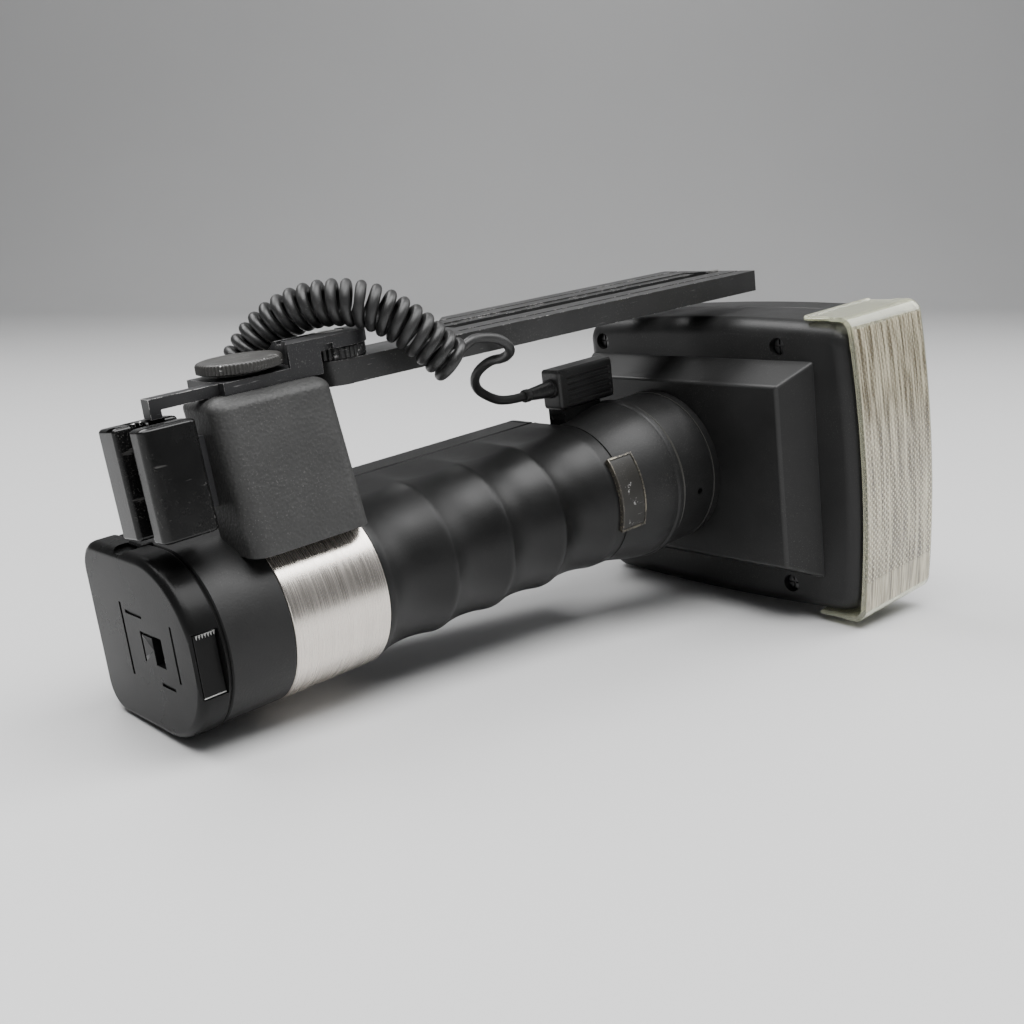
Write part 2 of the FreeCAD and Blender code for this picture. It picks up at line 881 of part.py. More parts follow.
def cell_contacts():
    """Spring plates between the cells and the basket's discs."""
    plates = []
    for x, y, z in cell_places():
        plates.append(along_x(4.5, x - 1.5, x - 1.0, y, z).fuse(along_x(2.0, x - 1.0, x, y, z)))
        end = x + cellLength + nubLength
        plates.append(along_x(4.5, end, end + contactThickness, y, z))
    return Part.makeCompound([p.removeSplitter() for p in plates])


def end_cap():
    """Closing plate of the drawer with its socket, keying slots and latch notch."""
    inset = -capProud
    cap = inset_section(inset, 0, capLength - 0.4)
    rims = [e for e in end_edges(cap, 0)]
    cap = cap.makeChamfer(capChamfer, rims)
    plug = inset_section(wall + bandThickness + drawerGap, capLength - 0.4, capLength)
    cap = cap.fuse(plug)
    marks = [block((-1, 13.2, -9.9), (1.2, 14.2, 10.2)), block((-1, -13.6, -6.4), (1.2, -12.6, 8.6)),
             block((-1, 9.0, 8.2), (1.0, 10.6, 12.0)), block((-1, -9.0, -9.6), (1.0, -3.0, -8.6)),
             block((-1, -6.6, -4.0), (5.0, -1.4, 4.0))]
    for z in (-9.0, 6.4):
        marks.append(block((-1, handleBack - 0.4, z), (3, handleBack + 3, z + 1.2)))
    for mark in marks:
        cap = cap.cut(mark)
    cap = cap.cut(latch_room())
    return cap.removeSplitter()


def latch_edges(grow):
    half = latchWidth / 2 + grow
    start = capLength - 0.4 - latchLength - 0.6
    return half, start - grow, capLength - 0.4 + grow


def latch_room():
    half, start, end = latch_edges(fit)
    reach = handleRadius + capProud + 2
    return block((start, -reach, latchOffset - half), (end + 0.5, -reach + 2 + latchDepth + latchTravel
                                                       + 4.4, latchOffset + half))


def latch_button():
    """Thumb catch in the side of the end cap, with a row of teeth along its upper edge."""
    half, start, end = latch_edges(0)
    radius = handleRadius + capProud
    body = block((start, -radius - 1, latchOffset - half), (end, -radius + latchDepth + 2.2,
                                                            latchOffset + half))
    body = body.common(along_x(radius - 0.2, start - 1, end + 1))
    step = (end - start - 1.0) / latchToothCount
    for index in range(latchToothCount):
        x = start + 0.5 + index * step
        tooth = Part.Face(Part.makePolygon([
            V(x, -radius - 1, latchOffset + half + 0.1), V(x + step, -radius - 1, latchOffset + half + 0.1),
            V(x + step / 2, -radius - 1, latchOffset + half - latchTooth),
            V(x, -radius - 1, latchOffset + half + 0.1)]))
        body = body.cut(tooth.extrude(V(0, latchDepth, 0)))
    return body


def latch_spring():
    """Leaf spring that pushes the catch outwards."""
    half, start, end = latch_edges(0)
    y = -handleRadius - capProud + latchDepth + 2.2 + fit
    middle = (start + end) / 2
    radius = 14.0
    height = 0.35
    outer = cylinder(radius, 4, (middle - 2, y + radius, latchOffset), V(1, 0, 0))
    inner = cylinder(radius - height, 6, (middle - 3, y + radius, latchOffset), V(1, 0, 0))
    keep = block((middle - 3, y - 1, latchOffset - half + 1), (middle + 3, y + 2.2, latchOffset + half - 1))
    return outer.cut(inner).common(keep)


def bay_wall():
    """Insulating wall at the top of the battery bay."""
    x = basket_discs()[-1] + discThickness + 3
    plate = handle_section(gripRadius - grooveDepth - wall - fit, bayBack, 2.0, x, 2.0)
    return plate.cut(along_x(3.0, x - 1, x + 3))


def bay_contacts():
    x = basket_discs()[-1] + discThickness
    studs = []
    for index in range(2):
        z = (index - 0.5) * 16
        studs.append(along_x(2.2, x + fit, x + 3, 0, z).fuse(along_x(3.4, x + 1.6, x + 3, 0, z)))
    return Part.makeCompound([s.removeSplitter() for s in studs])


def converter_board():
    low, high = bandEnd + railDepth, gripEnd - wall - 2
    half = gripRadius - wall - railDepth
    board = block((low, boardPlace, -half), (high, boardPlace + boardThickness, half))
    length = high - low
    first, second, third = (low + length * share for share in (0.1, 0.5, 0.7))
    parts = [block((first, boardPlace - transformerHeight, -transformerWidth / 2),
                   (first + transformerLength, boardPlace, transformerWidth / 2)),
             along_y(canRadius, boardPlace - canHeight, boardPlace, second, 4),
             block((third, boardPlace - driverHeight, -driverWidth),
                   (third + driverLength, boardPlace, 0))]
    return board.fuse(parts).removeSplitter()


def board_rails():
    low, high = bandEnd + railDepth - 1, gripEnd - wall
    rails = []
    for side in (-1, 1):
        outer = side * (gripRadius - wall)
        inner = side * (gripRadius - wall - railDepth)
        rails.append(block((low, boardPlace, min(outer, inner)),
                           (high, boardPlace + boardThickness, max(outer, inner))))
    bore = inset_section(gripInset + wall, low, high)
    return Part.makeCompound([rail.common(bore) for rail in rails])


def clamp_housing():
    """Box on the band that leans back a little, with a bore for the stud and its nut."""
    rear_foot = boxFootFront + boxDepth
    rear_top = rear_foot + boxLean
    ring = [(boxFootFront, boxFoot), (rear_foot, boxFoot), (rear_top, boxTop),
            (boxFootFront + boxLean, boxTop)]
    points = [V(boxStart, y, z) for y, z in ring]
    body = Part.Face(Part.makePolygon(points + points[:1])).extrude(V(boxLength, 0, 0))
    upright = [e for e in body.Edges if abs(e.tangentAt(e.FirstParameter).z) > 0.9]
    body = body.makeFillet(boxCorner, upright)
    top = [e for e in end_edges_z(body, boxTop)]
    body = body.makeFillet(2.0, top)
    body = body.cut(inset_section(0, 0, gripEnd))
    bore = block((knobPlace - boxBore, footCentre - 6.5, handleRadius + 7),
                 (knobPlace + boxBore, footCentre + 4.5, boxTop - wall))
    stud = cylinder(studRadius + runningGap, 10, (knobPlace, footCentre, boxTop - 6))
    return body.cut(bore).cut(stud).removeSplitter()


def end_edges_z(body, z):
    return [e for e in body.Edges if abs(e.CenterOfMass.z - z) < 0.01
            and abs(e.BoundBox.ZLength) < 0.01]


def band_nut():
    """Block on the stud that draws the band's ends up."""
    top = boxTop - wall - nutTopGap
    body = rounded_block((knobPlace - 7, footCentre - 6.2, top - nutHeight),
                         (knobPlace + 7, footCentre + 4.2, top), 1.0)
    return body.cut(cylinder(studRadius + runningGap, 20, (knobPlace, footCentre, top - 15)))


def bracket_foot():
    """Cast foot: plate under the knob, step, tongue over the rail's hub and a hook on the other side."""
    low, high = footCentre - footHalf, footCentre + footHalf
    base = boxTop
    plate = block((footStart, low, base), (stepStart + 5, high, base + footThickness))
    step = block((stepStart, low, base), (railPivot - hubRadius - 0.8, high, tongueTop))
    under = railTop + hubHeight() + hubGap
    tongue = block((stepStart, low, under), (railPivot, high, tongueTop))
    round_end = cylinder(footHalf, tongueTop - under, (railPivot, footCentre, under))
    arm = block((footStart - hookLength, hookCentre - hookWidth / 2, base),
                (footStart + 1, hookCentre + hookWidth / 2, base + hookHeight))
    tip = block((footStart - hookLength, hookCentre - hookWidth / 2, base - hookDrop + fit),
                (footStart - hookLength + hookTip, hookCentre + hookWidth / 2, base + hookHeight))
    relief = cylinder(knobRadius + 1.2, 20, (knobPlace, footCentre, base + footThickness))
    end = railPivot + footHalf + 1
    behind = block((stepStart - 1, tongueBack, base + footThickness), (end, high + 1, tongueTop + 1))
    corner = [V(stepStart - 1, tongueBack + 1, tongueTop - tongueBevel - 1),
              V(stepStart - 1, tongueBack + 1, tongueTop), V(stepStart - 1, tongueBack - tongueBevel,
                                                             tongueTop)]
    bevel = Part.Face(Part.makePolygon(corner + corner[:1])).extrude(V(end - stepStart + 1, 0, 0))
    body = plate.fuse([step, tongue, round_end]).cut([relief, behind, bevel]).fuse([arm, tip])
    body = body.cut(cylinder(studRadius + runningGap, 10, (knobPlace, footCentre, base - 1)))
    body = body.cut(cylinder(pivotRadius + runningGap, 20, (railPivot, footCentre, under - 1)))
    body = body.cut(cylinder(pivotHead + runningGap, 4, (railPivot, footCentre,
                                                         tongueTop - pivotHeadHeight)))
    groove = block((stepStart + 2, footCentre - 1.2, tongueTop - 1.0), (railPivot - 6, footCentre + 1.2,
                                                                       tongueTop + 1))
    return body.cut(groove).removeSplitter()


def hubHeight():
    return railThickness / 2


def knurled_disc(radius, height, place, teeth, tooth):
    """Round disc with straight teeth on its rim, as one many-pointed outline."""
    points = []
    x, y, z = place
    for index in range(2 * teeth):
        angle = math.pi * index / teeth
        r = radius if index % 2 else radius - tooth
        points.append(V(x + r * math.cos(angle), y + r * math.sin(angle), z))
    return Part.Face(Part.makePolygon(points + points[:1])).extrude(V(0, 0, height))


def clamp_knob():
    seat = boxTop + footThickness + knobGap
    base = seat + knobLift
    teeth = knurled_disc(knobRadius, knobHeight - 0.8, (knobPlace, footCentre, base + 0.4),
                         knobTeeth, knobTooth)
    core = cylinder(knobRadius - 0.7, knobHeight, (knobPlace, footCentre, base))
    boss = cylinder(knobBoss, knobLift, (knobPlace, footCentre, seat))
    dish = cylinder(knobRadius - 3.0, 0.5, (knobPlace, footCentre, base + knobHeight - 0.5))
    return teeth.fuse([core, boss]).cut(dish).removeSplitter()


def clamp_stud():
    low = boxTop - wall - nutTopGap - nutHeight - 2
    high = boxTop + footThickness + knobGap
    return cylinder(studRadius, high - low, (knobPlace, footCentre, low))


def turned(shape):
    """Rail pieces lie swung about the rail's pivot."""
    return shape.rotated(V(railPivot, footCentre, 0), V(0, 0, 1), railSwing)


def rail_outline(z, height):
    x, near = railPivot, footCentre - railNear
    neck = footCentre + hubRadius
    far = near + railWidth
    points = [V(x, near, z), V(x + railLength, near, z), V(x + railLength, far, z),
              V(x + railNeck + railShoulder, far, z), V(x + railNeck, neck, z), V(x, neck, z)]
    return Part.Face(Part.makePolygon(points + points[:1])).extrude(V(0, 0, height))


def camera_rail():
    base = railTop - railThickness
    body = rail_outline(base, railThickness).fuse(
        cylinder(hubRadius, railThickness, (railPivot, footCentre, base)))
    near = footCentre - railNear
    middle = near + railWidth / 2
    start, end = railPivot + railSlotStart, railPivot + railSlotEnd
    slot = block((start, middle - railSlotWidth / 2, base - 1), (end, middle + railSlotWidth / 2,
                                                                 railTop + 1))
    ends = [cylinder(railSlotWidth / 2, railThickness + 2, (x, middle, base - 1)) for x in (start, end)]
    body = body.cut(slot.fuse(ends))
    for y in (near + railGrooveInset, near + railWidth - railGrooveInset):
        body = body.cut(block((start - 6, y - railGrooveWidth / 2, railTop - railGroove),
                              (railPivot + railLength + 1, y + railGrooveWidth / 2, railTop + 1)))
    body = body.cut(cylinder(pivotRadius + runningGap, 20, (railPivot, footCentre, base - 1)))
    return turned(body.cut(stop_pin(stopRadius + runningGap)).removeSplitter())


def rail_hub():
    """Toothed washer between the rail and the tongue."""
    disc = knurled_disc(hubRadius, hubHeight(), (railPivot, footCentre, railTop), hubTeeth, hubTooth)
    return turned(disc.cut(cylinder(pivotRadius + runningGap, 20, (railPivot, footCentre, railTop - 1))))


def rail_stop():
    """Small pin at the rail's end that stops a camera's base, set in a hole."""
    return turned(stop_pin(stopRadius))


def stop_pin(radius):
    x = railPivot + railLength - stopInset
    y = footCentre - railNear + railWidth / 2 - stopSide
    return cylinder(radius, stopSunk + stopHeight, (x, y, railTop - stopSunk))


def pivot_screw():
    low = railTop - railThickness - 1.2
    shank = cylinder(pivotRadius, tongueTop - low - 0.1, (railPivot, footCentre, low))
    head = cylinder(pivotHead, pivotHeadHeight - 0.1, (railPivot, footCentre,
                                                       tongueTop - pivotHeadHeight))
    nut = cylinder(pivotNut, pivotNutHeight, (railPivot, footCentre, low - 0.4))
    slot = block((railPivot - pivotHead, footCentre - 0.5, tongueTop - 0.8),
                 (railPivot + pivotHead, footCentre + 0.5, tongueTop + 1))
    return shank.fuse([head, nut]).cut(slot).removeSplitter()


def leaned(shape):
    """The adapter hangs from the hook with its foot swung forward."""
    return shape.rotated(V(0, adapterRearFront, adapterTop), V(1, 0, 0), adapterLean)


def adapter_rear():
    low = (adapterEnd - adapterRearLength, adapterRearFront, adapterFoot)
    return leaned(soft_block(low, (adapterEnd, adapterRearBack, adapterTop), adapterEdge))


def adapter_front():
    high = (adapterEnd, adapterRearFront - adapterSlot, adapterTop - 0.6)
    low = (adapterEnd - adapterFrontLength, adapterFrontFace, adapterFoot - 1.0)
    return leaned(soft_block(low, high, adapterEdge))


def adapter_web():
    middle = (adapterFoot + adapterTop) / 2
    return leaned(block((adapterEnd - webLength, adapterRearFront - adapterSlot,
                         middle - webHeight / 2), (adapterEnd - 1.5, adapterRearFront,
                                                   middle + webHeight / 2)))


def adapter_cradle():
    """Holder between the adapter and the side of the clamp's box."""
    low = adapterFoot + 3
    body = block((adapterEnd, adapterRearFront + 1, low), (boxStart + 4, adapterRearBack - 2, low + 18))
    return leaned(body).cut(clamp_solid())


def clamp_solid():
    """The clamp's box without its bores."""
    rear_foot = boxFootFront + boxDepth
    ring = [(boxFootFront, boxFoot), (rear_foot, boxFoot), (rear_foot + boxLean, boxTop),
            (boxFootFront + boxLean, boxTop)]
    points = [V(boxStart, y, z) for y, z in ring]
    body = Part.Face(Part.makePolygon(points + points[:1])).extrude(V(boxLength, 0, 0))
    upright = [e for e in body.Edges if abs(e.tangentAt(e.FirstParameter).z) > 0.9]
    return body.makeFillet(boxCorner, upright)


def plug_body():
    """Flat plug with ribs along its sides."""
    low, high = (plugStart, plugFront, plugFoot), (plugStart + plugLength, plugBack, plugTop)
    body = soft_block(low, high, 1.2)
    pitch = (plugTop - plugFoot - 3) / plugRibCount
    for index in range(plugRibCount):
        z = plugFoot + 1.8 + index * pitch
        for y in (plugFront - 0.01, plugBack - plugRib + 0.01):
            body = body.cut(block((plugStart + 2, y, z), (plugStart + plugLength - 2, y + plugRib,
                                                          z + pitch / 2)))
    return body


def plug_socket():
    """Socket block in the neck under the plug."""
    return socket_block(plugFoot - 7.5)


def socket_block(low):
    return block((plugStart + socketWall, plugFront + 0.6, low),
                 (lipPlace - wall, plugBack - 0.6, plugFoot))


def plug_middle():
    return (plugFront + plugBack) / 2, plugFoot + 7.0


def plug_relief():
    y, z = plug_middle()
    return Part.makeCone(reliefTip, reliefRadius, reliefLength, V(plugStart - reliefLength, y, z),
                         V(1, 0, 0))


def adapter_relief():
    return leaned(Part.makeCone(reliefRadius, reliefTip, adapterReliefLength,
                                V(adapterReliefX, adapterRearBack, adapterReliefZ), V(0, 1, 0)))


def rounded_path(points, name):
    """Straight runs joined by tangent arcs, each as large as its two runs allow."""
    points = [V(*p) for p in points]
    edges, radii = [], []
    at = points[0]
    for before, corner, after in zip(points, points[1:], points[2:]):
        back, on = (before - corner), (after - corner)
        short = min(back.Length, on.Length)
        back.normalize()
        on.normalize()
        turn = math.pi - back.getAngle(on)
        reach = 0.45 * short
        radii.append(reach / math.tan(turn / 2))
        start, end = corner + back * reach, corner + on * reach
        middle = (back + on).normalize()
        far = radii[-1] / math.cos(turn / 2) - radii[-1]
        edges.append(Part.LineSegment(at, start).toShape())
        edges.append(Part.Arc(start, corner + middle * far, end).toShape())
        at = end
    edges.append(Part.LineSegment(at, points[-1]).toShape())
    if name:
        print(name, "radii", [round(r, 1) for r in radii])
    return Part.Wire(edges)


def tube(path, diameter, name):
    start = path.Edges[0].valueAt(path.Edges[0].FirstParameter)
    direction = path.Edges[0].tangentAt(path.Edges[0].FirstParameter)
    ring = Part.Wire(Part.makeCircle(diameter / 2, start, direction))
    solid = path.makePipeShell([ring], True, False)
    section = math.pi * diameter ** 2 / 4
    print(name, "length %.1f" % path.Length, "volume %.4f of section times length"
          % (solid.Volume / (section * path.Length)))
    return solid


def walk(path, step):
    """Places and directions along a wire at an even step."""
    places = []
    for edge in path.Edges:
        count = max(1, int(edge.Length / step))
        first, last = edge.FirstParameter, edge.LastParameter
        for index in range(count):
            u = first + (last - first) * index / count
            places.append((edge.valueAt(u), edge.tangentAt(u), edge.Length / count))
    edge = path.Edges[-1]
    places.append((edge.valueAt(edge.LastParameter), edge.tangentAt(edge.LastParameter), 0))
    return places


def curl_points(route, radius, pitch, per_turn):
    """A helix round a curved axis: the side vector is carried along without twisting."""
    path = rounded_path(route, "")
    turns = round(path.Length / pitch) + curlEnd - curlStart
    fine = walk(path, pitch / 200)
    total = sum(f[2] for f in fine)
    side = fine[0][1].cross(V(0, 0, 1)).normalize()
    points = []
    gone, wanted = 0.0, 0.0
    share = total / (turns * per_turn)
    for place, ahead, step in fine:
        side = (side - ahead * side.dot(ahead)).normalize()
        if gone >= wanted - 1e-9 and len(points) <= turns * per_turn:
            angle = 2 * math.pi * (len(points) / per_turn + curlStart)
            points.append(place + side * (radius * math.cos(angle))
                          + ahead.cross(side) * (radius * math.sin(angle)))
            wanted += share
        gone += step
    return points, turns


def biarc(start, start_way, end, end_way):
    """Two arcs from one point and direction to another."""
    across, both = end - start, start_way + end_way
    a = 2 * (1 - start_way.dot(end_way))
    b = across.dot(both)
    reach = (math.sqrt(b * b + a * across.dot(across)) - b) / a
    near, far = start + start_way * reach, end - end_way * reach
    joint = (near + far) * 0.5
    arcs = []
    for first, apex, last in ((start, near, joint), (joint, far, end)):
        base = (first + last) * 0.5
        half, rise = (last - base).Length, (apex - base).Length
        bulge = half * (reach - half) / rise
        arcs.append(Part.Arc(first, base + (apex - base) * (bulge / rise), last).toShape())
    return arcs


def curly_wire():
    """Path of the curls, with a straight end at each side."""
    many = 32
    fine, turns = curl_points(coilRoute, curlRadius, curlPitch, many)
    quarter = many // 4
    marks = list(range(0, len(fine) - quarter // 2, quarter)) + [len(fine) - 1]
    ways = []
    for mark in marks:
        before, after = max(mark - 1, 0), min(mark + 1, len(fine) - 1)
        ways.append((fine[after] - fine[before]).normalize())
    arcs = []
    for mark, way, later, later_way in zip(marks, ways, marks[1:], ways[1:]):
        arcs += biarc(fine[mark], way, fine[later], later_way)
    first, last = fine[marks[0]], fine[marks[-1]]
    lead_in = first - ways[0] * cordDiameter
    lead_out = last + ways[-1] * cordDiameter
    arcs = [Part.LineSegment(lead_in, first).toShape()] + arcs
    arcs.append(Part.LineSegment(last, lead_out).toShape())
    gap = min((fine[i] - fine[j]).Length for i in range(0, len(fine) - 20)
              for j in range(i + 20, min(i + 48, len(fine))))
    print("curls %.1f" % turns, "least gap %.2f" % (gap - cordDiameter))
    return Part.Wire(arcs), lead_in, ways[0], lead_out, ways[-1]


def cord_pieces():
    coil, lead_in, way_in, lead_out, way_out = curly_wire()
    y, z = plug_middle()
    tip = V(plugStart - reliefLength, y, z)
    plug_path = [lead_out, lead_out + way_out * 5] + [V(*p) for p in plugRoute]
    plug_path += [tip - V(8, 0, 0), tip]
    mouth = V(adapterReliefX, adapterRearBack + adapterReliefLength, adapterReliefZ)
    outlet, ahead = (leaned(Part.Vertex(p)).Point for p in (mouth, mouth + V(0, 10, 0)))
    adapter_path = [lead_in, lead_in - way_in * 7] + [V(*p) for p in adapterRoute]
    adapter_path += [ahead, outlet]
    return {
        "cord_coil": tube(coil, cordDiameter, "coil"),
        "cord_plug_lead": tube(rounded_path(plug_path, "plug lead"), cordDiameter, "plug lead"),
        "cord_adapter_lead": tube(rounded_path(adapter_path, "adapter lead"), cordDiameter,
                                  "adapter lead"),
    }


def build():
    nodes = {
        "lower_sleeve": lower_sleeve(), "clamp_band": clamp_band(), "grip_shell": grip_shell(),
        "rear_panel": rear_panel(), "neck_shell": neck_shell(), "name_plate": name_plate(),
        "spigot": spigot(), "spigot_ring": spigot_ring(), "bay_wall": bay_wall(),
        "bay_contacts": bay_contacts(), "converter_board": converter_board(),
        "board_rails": board_rails(), "plug_socket": plug_socket(),
        "clamp_housing": clamp_housing(), "band_nut": band_nut(), "bracket_foot": bracket_foot(),
        "clamp_knob": clamp_knob(), "clamp_stud": clamp_stud(), "pivot_screw": pivot_screw(),
        "camera_rail": camera_rail(), "rail_hub": rail_hub(), "rail_stop": rail_stop(),
        "adapter_rear": adapter_rear(), "adapter_front": adapter_front(),
        "adapter_web": adapter_web(), "adapter_cradle": adapter_cradle(),
        "swivel_collar": swivel_collar(), "head_base": head_base(), "head_cover": head_cover(),
        "head_screws": head_screws(), "window_pane": window_pane(), "reflector": reflector(),
        "flash_tube": flash_tube(), "tube_ends": tube_ends(), "lamp_holders": lamp_holders(),
        "main_capacitor": main_capacitor(), "capacitor_cradle": capacitor_cradle(),
        "head_board": head_board(), "board_posts": board_posts(), "trigger_coil": trigger_coil(),
        "diffuser": diffuser(), "control_panel": control_panel(), "mode_dial": mode_dial(),
        "scale_disc": scale_disc(), "power_switch": power_switch(), "test_button": test_button(),
        "ready_lamp": ready_lamp(), "end_cap": end_cap(), "basket_frame": basket_frame(),
        "battery_cells": battery_cells(), "cell_contacts": cell_contacts(),
        "latch_button": latch_button(), "latch_spring": latch_spring(),
        "plug_body": plug_body(), "plug_relief": plug_relief(), "adapter_relief": adapter_relief(),
    }
    nodes.update(cord_pieces())
    return nodes


CORD = ("cord_coil", "cord_plug_lead", "cord_adapter_lead", "plug_body", "plug_relief",
        "adapter_relief")


def resting_turn():
    """Turn that lays the flash on its cap's rim, the diffuser's lower clip and the head's back edge."""
    half_out = headHalf + diffuserGap + diffuserWall
    cap_rim = V(capChamfer, 0, -handleRadius - capProud)
    clip = V(headBase + diffuserStep, clip_end() - 2.0, -half_out)
    back = V(headBase + headEdge, headBack - headCorner, -headHalf + sideCrown)
    up = (clip - cap_rim).cross(back - cap_rim).normalize()
    return FreeCAD.Rotation(up, V(0, 0, 1))


def placed(nodes):
    """Lay the flash down, then centre its foot on the origin."""
    turn = FreeCAD.Placement(V(0, 0, 0), resting_turn())
    laid = {name: shape.transformed(turn.toMatrix(), True) for name, shape in nodes.items()}
    boxes = [shape.optimalBoundingBox(False) for name, shape in laid.items() if name not in CORD]
    low = V(min(b.XMin for b in boxes), min(b.YMin for b in boxes), min(b.ZMin for b in boxes))
    high = V(max(b.XMax for b in boxes), max(b.YMax for b in boxes), max(b.ZMax for b in boxes))
    shift = V(-(low.x + high.x) / 2, -(low.y + high.y) / 2, -low.z)
    print("turn", [round(c, 8) for c in turn.Rotation.Q], "shift",
          tuple(round(c, 4) for c in shift), "size", tuple(round(c, 1) for c in high - low))
    return {name: shape.translated(shift) for name, shape in laid.items()}


os.makedirs("parts", exist_ok=True)
for name, shape in placed(build()).items():
    if not shape.isValid() or not shape.Solids:
        print("check", name, shape.isValid(), len(shape.Solids))
    shape.exportStep("parts/%s.step" % name)
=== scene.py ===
import bmesh
import bpy
import json
import math
import numpy as np
from mathutils import Matrix, Vector


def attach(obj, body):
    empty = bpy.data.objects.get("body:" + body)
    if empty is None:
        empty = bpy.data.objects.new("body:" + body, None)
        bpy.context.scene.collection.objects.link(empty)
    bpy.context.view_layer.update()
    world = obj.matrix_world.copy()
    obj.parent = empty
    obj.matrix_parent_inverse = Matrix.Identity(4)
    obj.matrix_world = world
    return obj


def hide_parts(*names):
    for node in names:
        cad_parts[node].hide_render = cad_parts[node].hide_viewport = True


# Looks of a handle mount flash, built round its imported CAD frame.
# Pieces are worked out in millimetres along the handle: x from the end cap to the head,
# y towards the back of the flash, z towards the clamp. toRow() lays them into the row frame.

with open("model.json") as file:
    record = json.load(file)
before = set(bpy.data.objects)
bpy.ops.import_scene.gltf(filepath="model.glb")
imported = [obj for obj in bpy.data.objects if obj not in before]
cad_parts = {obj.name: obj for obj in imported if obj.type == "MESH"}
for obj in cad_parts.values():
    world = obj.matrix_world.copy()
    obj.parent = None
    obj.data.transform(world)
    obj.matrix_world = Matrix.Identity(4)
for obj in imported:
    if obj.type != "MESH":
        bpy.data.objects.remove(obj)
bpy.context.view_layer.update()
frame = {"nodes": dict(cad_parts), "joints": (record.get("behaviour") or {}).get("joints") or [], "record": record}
nodes = frame["nodes"]
joints = {joint["name"]: joint for joint in frame["joints"]}
axisX = np.array(joints["head_turn"]["axis"])
axisY = np.array(joints["drawer_latch"]["axis"])
axisZ = np.array(joints["rail_swing"]["axis"])
headPivot = 190.0
origin = np.array(joints["head_turn"]["pos_m"]) - axisX * headPivot / 1000
axes = np.stack([axisX, axisY, axisZ])
scene = bpy.context.scene


def toRow(points):
    # row = origin + x X + y Y + z Z, in metres
    return origin + np.asarray(points, float).reshape(-1, 3) / 1000 @ axes


def unit(way):
    return way / np.linalg.norm(way)


def newObject(name, data):
    obj = bpy.data.objects.new(name, data)
    scene.collection.objects.link(obj)
    return obj


# Camera

cameraSettings = {
    "place": (-120.3, -287.5, 106.1),
    "ahead": (0.6220, 0.7363, -0.2665),
    "up": (0.2642, 0.1230, 0.9566),
    "lens": 44.28,
}


def makeCamera(s):
    data = bpy.data.cameras.new("camera")
    data.sensor_width = 36.0
    data.lens = s["lens"]
    data.clip_start, data.clip_end = 0.01, 50.0
    camera = newObject("camera", data)
    ahead = np.array(s["ahead"]) @ axes
    up = np.array(s["up"]) @ axes
    right = unit(np.cross(ahead, up))
    up = np.cross(right, ahead)
    turn = Matrix([[*row] for row in np.stack([right, up, -ahead], axis=1)]).to_4x4()
    camera.matrix_world = Matrix.Translation(Vector(toRow(s["place"])[0])) @ turn
    scene.camera = camera


makeCamera(cameraSettings)


# Cord: lead, coil and lead drawn as one wire along its route

cordSettings = {
    "diameter": 2.9,
    "curlRadius": 5.0,
    "turns": 25.35,
    "startTurn": -0.02,
    "coilRoute": [(44.6, 23.0, 44.6), (46.2, 22.8, 51.8), (48.8, 21.0, 59.1), (52.4, 17.2, 66.0),
                  (57.2, 11.7, 72.1), (62.8, 4.0, 75.65), (68.8, -3.4, 75.95), (74.4, -9.4, 74.0),
                  (79.8, -14.2, 69.3), (84.5, -17.6, 63.7), (88.5, -20.0, 58.6),
                  (91.0, -21.0, 55.5)],
    "plugRoute": [(103.5, -17.2, 60.2), (110.5, -18.0, 58.9), (115.8, -17.0, 54.8),
                  (117.4, -11.5, 51.6), (117.4, -4.5, 50.8), (115.8, 1.2, 46.8),
                  (118.4, 5.2, 41.8), (124.8, 7.6, 37.6)],
    "plugTip": (140.5, 8.75, 34.2),
    "adapterRoute": [(27.0, 24.6, 47.0), (16.0, 27.0, 45.0)],
    "adapterTip": (8.0, 9.93, 42.71),
    "adapterOut": (8.0, 19.90, 41.92),
    "perTurn": 16,
    "straight": 8.0,
    "plugRun": 7.5,
    "adapterRun": 9.5,
}


def makeSpline(name, points, diameter):
    curve = bpy.data.curves.new(name, "CURVE")
    curve.dimensions = "3D"
    curve.bevel_depth = diameter / 2000
    curve.bevel_resolution = 5
    curve.resolution_u = 12
    curve.use_fill_caps = True
    spline = curve.splines.new("NURBS")
    spline.points.add(len(points) - 1)
    flat = np.column_stack([toRow(points), np.ones(len(points))]).astype(np.float32)
    spline.points.foreach_set("co", flat.ravel())
    spline.order_u = 3
    spline.use_endpoint_u = True
    return newObject(name, curve)


def splineLine(points):
    # points of the route's own NURBS line, in millimetres along the handle
    obj = makeSpline("route", points, 0.0)
    obj.data.resolution_u = 24
    bpy.context.view_layer.update()
    mesh = bpy.data.meshes.new_from_object(obj)
    flat = np.empty(len(mesh.vertices) * 3)
    mesh.vertices.foreach_get("co", flat)
    bpy.data.objects.remove(obj)
    bpy.data.meshes.remove(mesh)
    return (flat.reshape(-1, 3) - origin) @ axes.T * 1000


def evenly(line, count):
    # resample a line at equal distances
    steps = np.linalg.norm(np.diff(line, axis=0), axis=1)
    gone = np.concatenate([[0.0], np.cumsum(steps)])
    wanted = np.linspace(0.0, gone[-1], count)
    return np.column_stack([np.interp(wanted, gone, line[:, i]) for i in range(3)])


